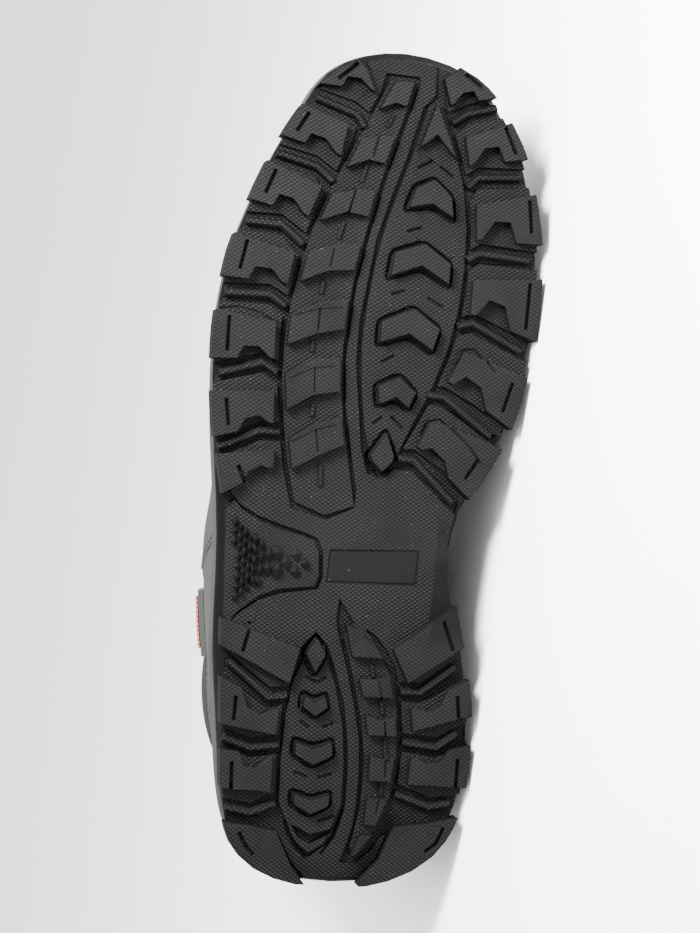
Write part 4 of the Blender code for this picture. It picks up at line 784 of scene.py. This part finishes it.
# Field of the facets, x and y from and to, and where they turn small toward the outer edge
FACET_X = (20.5, 48.0)
FACET_Y = (98.0, 133.0)
FACET_EASE = (31.0, 9.0)
# Inward value and how much less it is at the edge: column and row pitch, width and length, mm
FACET_COLUMN = (3.4, 1.5)
FACET_ROW = (6.2, 2.6)
FACET_WIDE = (6.0, 2.4)
FACET_LONG = (10.0, 4.6)
FACET_ROOM = 0.6        # least room to the field's outline
FACET_SEED = 7


def sized(values, small):
    return values[0] - values[1] * small


def build_facets(settings, ground, material):
    """Facets of the waist, large inward and small toward the edge, as node instances."""
    outline = pairs(FACETS)
    spots = []
    x = FACET_X[0]
    column = 0
    while x < FACET_X[1]:
        small = min(1.0, max(0.0, (x - FACET_EASE[0]) / FACET_EASE[1]))
        tall = sized(FACET_ROW, small)
        y = FACET_Y[0] + (0.5 * tall if column % 2 else 0.0)
        while y < FACET_Y[1]:
            room = edge_distance((x, y), outline)
            if inside((x, y), outline) and room > FACET_ROOM:
                spots.append((x, y, small, room))
            y += tall
        x += sized(FACET_COLUMN, small)
        column += 1
    item = new_item("facets", [(a, b, ground.level(a, b, 0.0)) for a, b, _, _ in spots])
    wide = item.data.attributes.new("wide", "FLOAT", "POINT")
    long = item.data.attributes.new("long", "FLOAT", "POINT")
    for index, (a, b, small, room) in enumerate(spots):
        wide.data[index].value = min(sized(FACET_WIDE, small), 3.4 + 2.0 * room)
        long.data[index].value = min(sized(FACET_LONG, small), 4.4 + 2.0 * room)
    shape = facet_shape()
    tree = Tree("facet_field", (("Shape", "NodeSocketObject", shape),
                                ("Height", "NodeSocketFloat", settings.facet_tall),
                                ("Seed", "NodeSocketInt", FACET_SEED)))
    points = tree.node("GeometryNodeMeshToPoints", Mesh=tree.given("Geometry"))
    reach = [tree.node("GeometryNodeInputNamedAttribute", {"data_type": "FLOAT"}, Name=key)
             for key in ("wide", "long")]
    vary = tree.chance(0.55, 1.15)
    tall = tree.node("ShaderNodeMath", {"operation": "MULTIPLY"})
    tree.tree.links.new(vary, tall.inputs[0])
    tree.tree.links.new(tree.given("Height"), tall.inputs[1])
    size = tree.node("ShaderNodeCombineXYZ", X=reach[0].outputs[0], Y=reach[1].outputs[0],
                     Z=tall.outputs[0])
    turn = tree.node("ShaderNodeCombineXYZ", Z=tree.chance(-0.22, 0.22))
    return tree.scatter(item, shape, material, points.outputs[0], Rotation=turn.outputs[0],
                        Scale=size.outputs[0])


def stitch_shape(length=2.3, width=0.75, height=0.5):
    """One stitch lying along x, its top toward z."""
    points = []
    for share, round_off in ((-0.5, 0.35), (-0.28, 1.0), (0.28, 1.0), (0.5, 0.35)):
        for k in range(6):
            turn = math.tau * k / 6.0
            points.append((share * length, math.cos(turn) * width / 2.0 * round_off,
                           math.sin(turn) * height * round_off))
    faces = [tuple(range(6)), tuple(reversed(range(18, 24)))]
    for ring in range(3):
        faces.extend((ring * 6 + k, ring * 6 + (k + 1) % 6, ring * 6 + 6 + (k + 1) % 6,
                      ring * 6 + 6 + k) for k in range(6))
    return turned_out(new_item("stitch", points, faces))


def build_stitches(settings, lines, material):
    """Stitches along lines of (place, outward direction), as node instances."""
    points, edges, ups = [], [], []
    for line in lines:
        start = len(points)
        points.extend(p for p, n in line)
        ups.extend(n for p, n in line)
        edges.extend((k, k + 1) for k in range(start, len(points) - 1))
    item = new_item("stitching", points, (), edges)
    layer = item.data.attributes.new("up", "FLOAT_VECTOR", "POINT")
    for index, value in enumerate(ups):
        layer.data[index].vector = value
    shape = stitch_shape()
    tree = Tree("stitch_rows", (("Shape", "NodeSocketObject", shape),
                                ("Pitch", "NodeSocketFloat", settings.stitch_gap)))
    curve = tree.node("GeometryNodeMeshToCurve", Mesh=tree.given("Geometry"))
    even = tree.node("GeometryNodeResampleCurve", {"mode": "LENGTH"}, Curve=curve.outputs[0],
                     Length=tree.given("Pitch"))
    out = tree.node("GeometryNodeInputNamedAttribute", {"data_type": "FLOAT_VECTOR"}, Name="up")
    along = tree.node("GeometryNodeInputTangent")
    first = tree.node("FunctionNodeAlignRotationToVector", {"axis": "Z"},
                      Vector=out.outputs[0])
    second = tree.node("FunctionNodeAlignRotationToVector", {"axis": "X", "pivot_axis": "Z"},
                       Rotation=first.outputs[0], Vector=along.outputs[0])
    return tree.scatter(item, shape, material, even.outputs[0], Rotation=second.outputs[0])


def mend_cut(work, fewest=400):
    """Drops loose bits that a cut leaves, and closes the holes that it can."""
    bmesh.ops.delete(work, geom=[e for e in work.edges if not e.link_faces], context="EDGES")
    seen = set()
    stray = []
    for start in work.verts:
        if start in seen:
            continue
        part, queue = [], [start]
        seen.add(start)
        while queue:
            vertex = queue.pop()
            part.append(vertex)
            for edge in vertex.link_edges:
                other = edge.other_vert(vertex)
                if other not in seen:
                    seen.add(other)
                    queue.append(other)
        if len(part) < fewest:
            stray.extend(part)
    bmesh.ops.delete(work, geom=stray, context="VERTS")
    rim = [e for e in work.edges if len(e.link_faces) == 1]
    bmesh.ops.holes_fill(work, edges=rim, sides=0)
    bmesh.ops.triangulate(work, faces=[f for f in work.faces if len(f.verts) > 4])


def hold_close(item, tree, limit=0.2):
    """Puts back the corners that rounding throws off the cut mesh."""
    for vertex in item.data.vertices:
        spot, _, _, distance = tree.find_nearest(vertex.co)
        if distance > limit:
            vertex.co = spot


MERGE = 0.12            # corners closer than this become one, mm
SLIVER = 0.02
FLAT_TURN = math.radians(0.02)
ROUND_TURN = math.radians(28.0)
SHARP_TURN = math.radians(50.0)


class BOOT_OT_tread(bpy.types.Operator):
    """Tread with rounded edges, slots, moats and moulded texture"""
    bl_idname = "boot.tread"
    bl_label = "Tread"

    def execute(self, context):
        settings = context.scene.boot
        ground = Ground()
        material = tread_paint(settings)
        item = copy_of("outsole", "tread")
        cutter = tread_cutters(settings, ground)
        cut = item.modifiers.new("cuts", "BOOLEAN")
        cut.operation = "DIFFERENCE"
        cut.solver = "EXACT"
        cut.use_self = True
        cut.object = cutter
        apply_modifiers(item)
        bpy.data.objects.remove(cutter)
        with editing(item.data) as work:
            bmesh.ops.remove_doubles(work, verts=work.verts, dist=MERGE)
            bmesh.ops.dissolve_degenerate(work, edges=work.edges, dist=SLIVER)
            bmesh.ops.dissolve_limit(work, angle_limit=FLAT_TURN, verts=work.verts,
                                     edges=work.edges)
            bmesh.ops.triangulate(work, faces=[f for f in work.faces if len(f.verts) > 4])
            mend_cut(work)
            tree = BVHTree.FromBMesh(work)
        soft = item.modifiers.new("edges", "BEVEL")
        soft.width = settings.edge
        soft.segments = 2
        soft.limit_method = "ANGLE"
        soft.angle_limit = ROUND_TURN
        soft.use_clamp_overlap = False
        apply_modifiers(item)
        hold_close(item, tree)
        mark_sunk(item, ground)
        item.data.shade_smooth()
        item.data.set_sharp_from_angle(angle=SHARP_TURN)
        even = item.modifiers.new("even", "WEIGHTED_NORMAL")
        even.keep_sharp = True
        apply_modifiers(item)
        settle(item, material, "tread_rubber", "outsole")

        ribs = gathered("floor_ribs", [
            swept(ground, pairs(line), False, rib(*size))
            for lines, size in ((FLOOR_RIBS, FLOOR_RIB), (EDGE_RIBS, EDGE_RIB))
            for line in lines])
        for more in (ribs, build_facets(settings, ground, material)):
            mark_sunk(more, ground)
            settle(more, material, "tread_rubber")
        return {"FINISHED"}


def eased(node, name, levels, angle):
    """A CAD node's copy with its flat steps smoothed, its corners kept."""
    item = copy_of(node, name)
    with editing(item.data) as work:
        bmesh.ops.join_triangles(work, faces=work.faces,
                                 angle_face_threshold=math.radians(40),
                                 angle_shape_threshold=math.radians(60))
        crease = work.edges.layers.float.new("crease_edge")
        for edge in work.edges:
            if len(edge.link_faces) == 2 and edge.calc_face_angle() > math.radians(angle):
                edge[crease] = 1.0
    fine = item.modifiers.new("fine", "SUBSURF")
    fine.levels = levels
    fine.render_levels = levels
    return apply_modifiers(item)


JOINT_REACH = 1.2       # the midsole's points this near the sole are pressed to it, mm
JOINT_PRESS = 0.12      # and this far into it, so that no light shows through


class BOOT_OT_wall(bpy.types.Operator):
    """Midsole band"""
    bl_idname = "boot.wall"
    bl_label = "Midsole"

    def execute(self, context):
        settings = context.scene.boot
        item = eased("midsole", "side_wall", 2, 38.0)
        below = copy_of("outsole", "below")
        tree = BVHTree.FromObject(below, bpy.context.evaluated_depsgraph_get())
        for vertex in item.data.vertices:
            spot = tree.find_nearest(vertex.co, JOINT_REACH)[0]
            if spot is not None and spot.z < vertex.co.z:
                vertex.co = spot - Vector((0.0, 0.0, JOINT_PRESS))
        bpy.data.objects.remove(below)
        settle(item, wall_paint(settings), "midsole_rubber", "midsole", smooth=True)
        item.data.set_sharp_from_angle(angle=SHARP_TURN)
        return {"FINISHED"}


# ---- the upper's panels, y and z in mm in the boot's standing axes, the same on both sides
TOE_CAP = (228, 0, 226, 38, 233, 58, 238, 76, 239, 110, 330, 110, 330, 0)
COUNTER = (-20, 0, -20, 90, 24, 88, 46, 76, 60, 56, 70, 36, 72, 0)
EYESTAY = (104, 190, 106, 165, 119, 138, 136, 112, 158, 91, 184, 75, 206, 68, 222, 78,
           226, 100, 200, 140, 150, 210)
SADDLE = (136, 10, 119, 44, 107, 72, 112, 96, 124, 122, 142, 108, 160, 90, 174, 58, 184, 10)
COLLAR_PAD = (-20, 146, 22, 140, 58, 134, 90, 143, 99, 158, 97, 200, -20, 200)
# Soft creases: from y, z to y, z, depth and half width, mm
CREASES = (
    (206, 62, 196, 34, 0.9, 5.0), (219, 60, 213, 34, 0.7, 4.5), (193, 68, 182, 36, 0.5, 4.0),
    (104, 118, 62, 108, 1.2, 7.0), (100, 134, 66, 124, 0.8, 6.0), (10, 104, 44, 112, 0.9, 6.0),
)
# Middle of the foot and shin, from which the outer face looks away: y and z
SHIN = ((285, 42), (230, 46), (170, 52), (120, 62), (72, 78), (62, 110), (62, 150), (62, 200))


PANEL_RISE = 0.55       # a panel over the leather under it
PANEL_EASE = 1.2        # half the width of its edge
PAD_RISE = 0.9
PAD_WIDTH = 13.0
LIP_SHARE = 0.35        # of a crease's depth, on both sides of it
LIP_PLACE = 1.6         # in half widths
# Rows of stitches inward of each panel's edge, mm
STITCH_ROWS = (("toe", (2.2, 4.4)), ("counter", (2.2, 4.4)), ("eyestay", (2.2,)),
               ("saddle", (2.2,)), ("collar", (-2.0,)))
PANELS = {"toe": TOE_CAP, "counter": COUNTER, "eyestay": EYESTAY, "saddle": SADDLE,
          "collar": COLLAR_PAD}
PANEL_GROUPS = {"smooth_panel": ("eyestay", "saddle"), "strong_panel": ("toe", "counter"),
                "collar_panel": ("collar",)}


def nearest(spot, a, b):
    """The point between two others that is nearest to a spot."""
    share = (spot - a).dot(b - a) / (b - a).length_squared
    return a.lerp(b, min(max(share, 0.0), 1.0))


def signed(point, outline):
    """Distance to an outline, above 0 inside it."""
    gap = edge_distance(point, outline)
    return gap if inside(point, outline) else -gap


def contour(mesh, values, level, allowed):
    """Lines over a mesh where its values cross a level, as (place, normal) rows."""
    mesh.calc_loop_triangles()
    spots, links = {}, {}
    for face in mesh.loop_triangles:
        a, b, c = face.vertices
        if not (allowed[a] and allowed[b] and allowed[c]):
            continue
        cuts = []
        for i, j in ((a, b), (b, c), (c, a)):
            if (values[i] > level) != (values[j] > level):
                key = (min(i, j), max(i, j))
                share = (level - values[i]) / (values[j] - values[i])
                first, second = mesh.vertices[i], mesh.vertices[j]
                spots[key] = (first.co.lerp(second.co, share),
                              first.normal.lerp(second.normal, share).normalized())
                cuts.append(key)
        if len(cuts) == 2:
            links.setdefault(cuts[0], set()).add(cuts[1])
            links.setdefault(cuts[1], set()).add(cuts[0])
    lines = []
    unused = set(links)
    while unused:
        ends = [k for k in unused if len(links[k] & unused) <= 1]
        spot = min(ends) if ends else min(unused)
        line = [spot]
        unused.discard(spot)
        while True:
            ahead = sorted(links[spot] & unused)
            if not ahead:
                break
            spot = ahead[0]
            unused.discard(spot)
            line.append(spot)
        if len(line) > 5:
            lines.append([spots[k] for k in line])
    return lines


class BOOT_OT_upper(bpy.types.Operator):
    """Leather upper with its panels, creases and stitching"""
    bl_idname = "boot.upper"
    bl_label = "Upper"

    def execute(self, context):
        settings = context.scene.boot
        item = eased("upper", "leather_upper", 2, 60.0)
        mesh = item.data
        outlines = {key: pairs(value) for key, value in PANELS.items()}
        shin = [Vector(p) for p in SHIN]
        fields = {key: [] for key in outlines}
        outer = []
        shifts = []
        for vertex in mesh.vertices:
            x, y, z = vertex.co
            spot = Vector((y, z))
            middle = min((nearest(spot, a, b) for a, b in zip(shin, shin[1:])),
                         key=lambda q: (q - spot).length)
            away = Vector((x, y - middle.x, z - middle.y)).normalized()
            side = vertex.normal.dot(away)
            outer.append(side > 0.0)
            for key, outline in outlines.items():
                fields[key].append(signed((y, z), outline))
            push = 0.0
            if side > 0.0:
                best = max(fields[key][-1] for key in ("toe", "counter", "eyestay", "saddle"))
                push += PANEL_RISE * min(1.0, max(0.0, (best + PANEL_EASE) / (2.0 * PANEL_EASE)))
                pad = fields["collar"][-1]
                if pad > 0.0:
                    push += PAD_RISE * abs(math.sin(math.pi * min(1.0, pad / PAD_WIDTH)))
                for ay, az, by, bz, depth, wide in CREASES:
                    near = nearest(spot, Vector((ay, az)), Vector((by, bz)))
                    gap = (spot - near).length / wide
                    push -= depth * math.exp(-gap * gap) - LIP_SHARE * depth * math.exp(
                        -(gap - LIP_PLACE) ** 2 * 2.0)
            shifts.append(vertex.normal * push)
        for vertex, shift in zip(mesh.vertices, shifts):
            vertex.co += shift
        mesh.update()
        for name, keys in PANEL_GROUPS.items():
            layer = mesh.attributes.new(name, "FLOAT", "POINT")
            for index in range(len(mesh.vertices)):
                layer.data[index].value = max(fields[key][index] for key in keys)
        layer = mesh.attributes.new("lining", "FLOAT", "POINT")
        for index, shown in enumerate(outer):
            layer.data[index].value = 0.0 if shown else 1.0

        lines = []
        for key, insets in STITCH_ROWS:
            for inset in insets:
                lines.extend(contour(mesh, fields[key], inset, outer))
        thread = plain_paint("thread_finish", shade(settings.leather, 0.55), 0.8,
                             0.1, 3.0)
        settle(build_stitches(settings, lines, thread), thread, "upper_suede")
        settle(item, leather_paint("leather_finish", tuple(settings.leather)), "upper_suede",
               "upper", smooth=True)
        return {"FINISHED"}


# ---- lace
def eyelet_spots():
    """Middle and outward direction of every eyelet, lateral and medial, bottom to top."""
    spots = {}
    for side in ("lateral", "medial"):
        number = 1
        while "eyelet_%s_%d" % (side, number) in frame["nodes"]:
            mesh = frame["nodes"]["eyelet_%s_%d" % (side, number)].data
            points = [STANDING @ v.co for v in mesh.vertices]
            low = [min(p[k] for p in points) for k in range(3)]
            high = [max(p[k] for p in points) for k in range(3)]
            middle = Vector([(a + b) / 2.0 for a, b in zip(low, high)])
            centre = sum(points, Vector()) / len(points)
            axis = Vector()
            for face in mesh.polygons:
                way = STANDING.to_3x3() @ face.normal
                spot = STANDING @ face.center
                way.normalize()
                if (spot - centre).dot(way) > 0.0:
                    axis += way * face.area * (1.0 if way.z + way.y > 0 else 0.0)
            spots[(side, number)] = (middle, axis.normalized())
            number += 1
    return spots


def smooth_path(points, step=1.0):
    """Points of a rounded path through the given ones."""
    path = []
    count = len(points)
    for k in range(count - 1):
        a = points[max(0, k - 1)]
        b, c = points[k], points[k + 1]
        d = points[min(count - 1, k + 2)]
        steps = max(2, round((c - b).length / step))
        for n in range(steps):
            t = n / steps
            path.append(0.5 * ((2.0 * b) + (c - a) * t + (2.0 * a - 5.0 * b + 4.0 * c - d) * t * t
                               + (3.0 * b - a - 3.0 * c + d) * t ** 3))
    path.append(points[-1])
    return path


def tube(path, radius, sides=10):
    """Closed tube along a path with a map of turns along it and round it."""
    frames = []
    normal = None
    for k, spot in enumerate(path):
        way = (path[min(k + 1, len(path) - 1)] - path[max(0, k - 1)]).normalized()
        if normal is None:
            normal = way.orthogonal().normalized()
        normal = (normal - way * normal.dot(way)).normalized()
        frames.append((spot, normal, way.cross(normal)))
    points, faces, marks = [], [], []
    run = 0.0
    for k, (spot, first, second) in enumerate(frames):
        if k:
            run += (spot - frames[k - 1][0]).length
        marks.append(run / (2.0 * radius * math.pi))
        for m in range(sides):
            turn = math.tau * m / sides
            points.append(spot + (first * math.cos(turn) + second * math.sin(turn)) * radius)
    spots = []
    for k in range(len(frames) - 1):
        for m in range(sides):
            n = (m + 1) % sides
            faces.append((k * sides + m, k * sides + n, (k + 1) * sides + n, (k + 1) * sides + m))
            spots.append(((marks[k], m / sides), (marks[k], (m + 1) / sides),
                          (marks[k + 1], (m + 1) / sides), (marks[k + 1], m / sides)))
    for ring, order in ((0, reversed(range(sides))), (len(frames) - 1, range(sides))):
        order = list(order)
        faces.append(tuple(ring * sides + m for m in order))
        spots.append(tuple((marks[ring], 0.0) for m in order))
    return points, faces, spots


# The lace's path, mm: how far inward of an eyelet, over or under it
BAR_OVER = 2.2          # the middle of the bottom bar
LACE_IN = 5.0           # where it comes away from an eyelet
LACE_OVER = 1.0
FIRST_OVER = 0.8        # through the bottom pair
FIRST_UNDER = 3.0
BACK_OVER = 0.9         # back out of a higher eyelet
HALF_OVER = 1.2         # halfway across
DIVE_IN = 9.5           # where it dives under the edge
DIVE_OVER = 0.6
EDGE_IN = 3.0
EDGE_UNDER = 3.2
RISE_UNDER = 1.5        # under the eyelet that it rises through
END_OVER = 0.6          # its end, out of the top pair
LACE_COLOUR = (0.030, 0.030, 0.031)


class BOOT_OT_lace(bpy.types.Operator):
    """Lace through the eyelets, its ends at the top pair"""
    bl_idname = "boot.lace"
    bl_label = "Lace"

    def execute(self, context):
        settings = context.scene.boot
        radius = settings.lace_radius
        spots = eyelet_spots()
        pairs_up = max(number for side, number in spots)
        other = {"lateral": "medial", "medial": "lateral"}

        def inward(side, number):
            here, axis = spots[(side, number)]
            there = spots[(other[side], number)][0]
            way = there - here
            return (way - axis * way.dot(axis)).normalized()

        def over(side, number):
            here, axis = spots[(side, number)]
            return here + inward(side, number) * LACE_IN + axis * (radius + LACE_OVER)

        points, faces, marks = [], [], []
        for side in ("lateral", "medial"):
            a, b = spots[("lateral", 1)][0], spots[("medial", 1)][0]
            axis = (spots[("lateral", 1)][1] + spots[("medial", 1)][1]).normalized()
            path = [(a + b) / 2.0 + axis * (radius + BAR_OVER), over(side, 1),
                    spots[(side, 1)][0] + spots[(side, 1)][1] * FIRST_OVER,
                    spots[(side, 1)][0] - spots[(side, 1)][1] * FIRST_UNDER]
            for number in range(1, pairs_up):
                side = other[side]
                here, axis = spots[(side, number + 1)]
                if number > 1:
                    back, lean = spots[(other[side], number)]
                    path.append(back + lean * (radius + BACK_OVER))
                    path.append(over(other[side], number))
                last = path[-1]
                goal = here + inward(side, number + 1) * DIVE_IN + axis * DIVE_OVER
                path.append(last.lerp(goal, 0.5) + (axis + spots[(other[side], number)][1])
                            .normalized() * HALF_OVER)
                path.append(goal)
                path.append(here + inward(side, number + 1) * EDGE_IN - axis * EDGE_UNDER)
                path.append(here - axis * RISE_UNDER)
            here, axis = spots[(side, pairs_up)]
            path.append(here + axis * (radius + END_OVER))
            some, more, map_spots = tube(smooth_path(path), radius)
            start = len(points)
            points.extend(some)
            faces.extend(tuple(start + k for k in face) for face in more)
            marks.extend(map_spots)
        item = new_item("lace_run", points, faces)
        layer = item.data.uv_layers.new(name="along")
        for face, corner in zip(item.data.polygons, marks):
            for loop, value in zip(face.loop_indices, corner):
                layer.data[loop].uv = value
        settle(item, cord_paint("cord_finish", LACE_COLOUR), "lace_cord", "lace", smooth=True)
        return {"FINISHED"}


class BOOT_OT_trim(bpy.types.Operator):
    """Tongue, insole, tab, band and eyelets"""
    bl_idname = "boot.trim"
    bl_label = "Trim"

    def execute(self, context):
        settings = context.scene.boot
        darker = shade(settings.leather, 0.55)
        tongue = eased("tongue", "padded_tongue", 2, 60.0)
        settle(tongue, leather_paint("tongue_finish", darker, False), "tongue_suede", "tongue",
               smooth=True)
        finishes = {
            "insole": weave_paint("felt_finish", (0.05, 0.05, 0.052), 1.2, 0.2),
            "side_tab": plain_paint("tab_finish", (0.022, 0.023, 0.023), 0.6, 0.05, 3.0),
            "side_band": weave_paint("band_finish", tuple(settings.band), 0.9, 0.3),
        }
        metal = plain_paint("metal_finish", (0.22, 0.22, 0.23), 0.35, 0.01, 4.0, 1.0)
        for name, node in frame["nodes"].items():
            if name.startswith("eyelet"):
                dress(node, metal)
            elif name in finishes:
                dress(node, finishes[name])
        return {"FINISHED"}


# ---- stage
# The photo's camera: distance and target in mm, tilt and roll in degrees, mm of boot a pixel
CAMERA_DISTANCE = 850.0
CAMERA_TILT = 11.0
CAMERA_ROLL = 4.24
CAMERA_TARGET = Vector((7.5, 153.0, 0.0))
PIXEL = 0.36
PHOTO_TALL = 933.0
SENSOR = 36.0
FLOOR_HALF = 6.0        # m
FLOOR_COLOUR = (0.95, 0.95, 0.95, 1.0)
SKY_STRENGTH = 2.1
# Lamps: name, place in standing mm, side in metres and watts; all look at one spot
LAMPS = (("key", (330.0, 450.0, -270.0), 0.20, 24.0), ("side", (700.0, 150.0, -300.0), 0.6, 6.0))
LAMP_TARGET = (0.0, 150.0, 20.0)


def camera_axes():
    """Eye, right, up and forward of the photo's camera in standing axes."""
    tilt = math.radians(CAMERA_TILT)
    roll = math.radians(CAMERA_ROLL)
    back = Vector((math.sin(tilt), 0.0, -math.cos(tilt)))
    ahead = -back
    above = Vector((0.0, 1.0, 0.0))
    above = (above - ahead * above.dot(ahead)).normalized()
    right = ahead.cross(above)
    turned = right * math.cos(roll) + above * math.sin(roll)
    raised = above * math.cos(roll) - right * math.sin(roll)
    return CAMERA_TARGET + back * CAMERA_DISTANCE, turned, raised, ahead


def area_light(name, place, size, power):
    data = bpy.data.lights.new(name, "AREA")
    data.shape = "RECTANGLE"
    data.size = data.size_y = size
    data.energy = power
    item = linked(name, data)
    item.location = laid(place)
    aim = laid(LAMP_TARGET) - laid(place)
    item.rotation_euler = aim.to_track_quat("-Z", "Y").to_euler()


class BOOT_OT_stage(bpy.types.Operator):
    """Floor, light and the photo's camera"""
    bl_idname = "boot.stage"
    bl_label = "Stage"

    def execute(self, context):
        scene = context.scene
        eye, right, raised, ahead = camera_axes()
        data = bpy.data.cameras.new("camera")
        data.sensor_width = SENSOR
        data.lens = CAMERA_DISTANCE / PIXEL * data.sensor_width / PHOTO_TALL
        data.clip_start = 0.01
        data.clip_end = 50.0
        item = linked("camera", data)
        turn = Matrix((TURN @ right, TURN @ raised, TURN @ -ahead)).transposed().to_4x4()
        item.matrix_world = Matrix.Translation(laid(eye)) @ turn
        scene.camera = item

        half = FLOOR_HALF
        floor = new_item("floor", [(-half, -half, 0.0), (half, -half, 0.0), (half, half, 0.0),
                                   (-half, half, 0.0)], [(0, 1, 2, 3)])
        paint = Paint("floor_finish")
        dress(floor, paint.finish(Base_Color=FLOOR_COLOUR, Roughness=0.9))

        world = bpy.data.worlds.new("studio")
        scene.world = world
        world.use_nodes = True
        sky = world.node_tree.nodes["Background"]
        sky.inputs["Color"].default_value = (1, 1, 1, 1)
        sky.inputs["Strength"].default_value = SKY_STRENGTH
        for lamp in LAMPS:
            area_light(*lamp)
        return {"FINISHED"}


class BOOT_PT_panel(bpy.types.Panel):
    """Sizes, colours and a button for each group of pieces"""
    bl_idname = "BOOT_PT_panel"
    bl_label = "Hiking boot"
    bl_space_type = "VIEW_3D"
    bl_region_type = "UI"
    bl_category = "Boot"

    def draw(self, context):
        column = self.layout.column()
        for key in BootSettings.__annotations__:
            column.prop(context.scene.boot, key)
        for operator in OPERATORS:
            column.operator(operator.bl_idname)


OPERATORS = (BOOT_OT_tread, BOOT_OT_wall, BOOT_OT_upper, BOOT_OT_lace, BOOT_OT_trim,
             BOOT_OT_stage)


def register():
    bpy.utils.register_class(BootSettings)
    for operator in OPERATORS:
        bpy.utils.register_class(operator)
    bpy.utils.register_class(BOOT_PT_panel)
    bpy.types.Scene.boot = PointerProperty(type=BootSettings)


def unregister():
    del bpy.types.Scene.boot
    bpy.utils.unregister_class(BOOT_PT_panel)
    for operator in reversed(OPERATORS):
        bpy.utils.unregister_class(operator)
    bpy.utils.unregister_class(BootSettings)


def main():
    register()
    bpy.ops.boot.tread()
    bpy.ops.boot.wall()
    bpy.ops.boot.upper()
    bpy.ops.boot.lace()
    bpy.ops.boot.trim()
    bpy.ops.boot.stage()


if __name__ == "__main__":
    main()
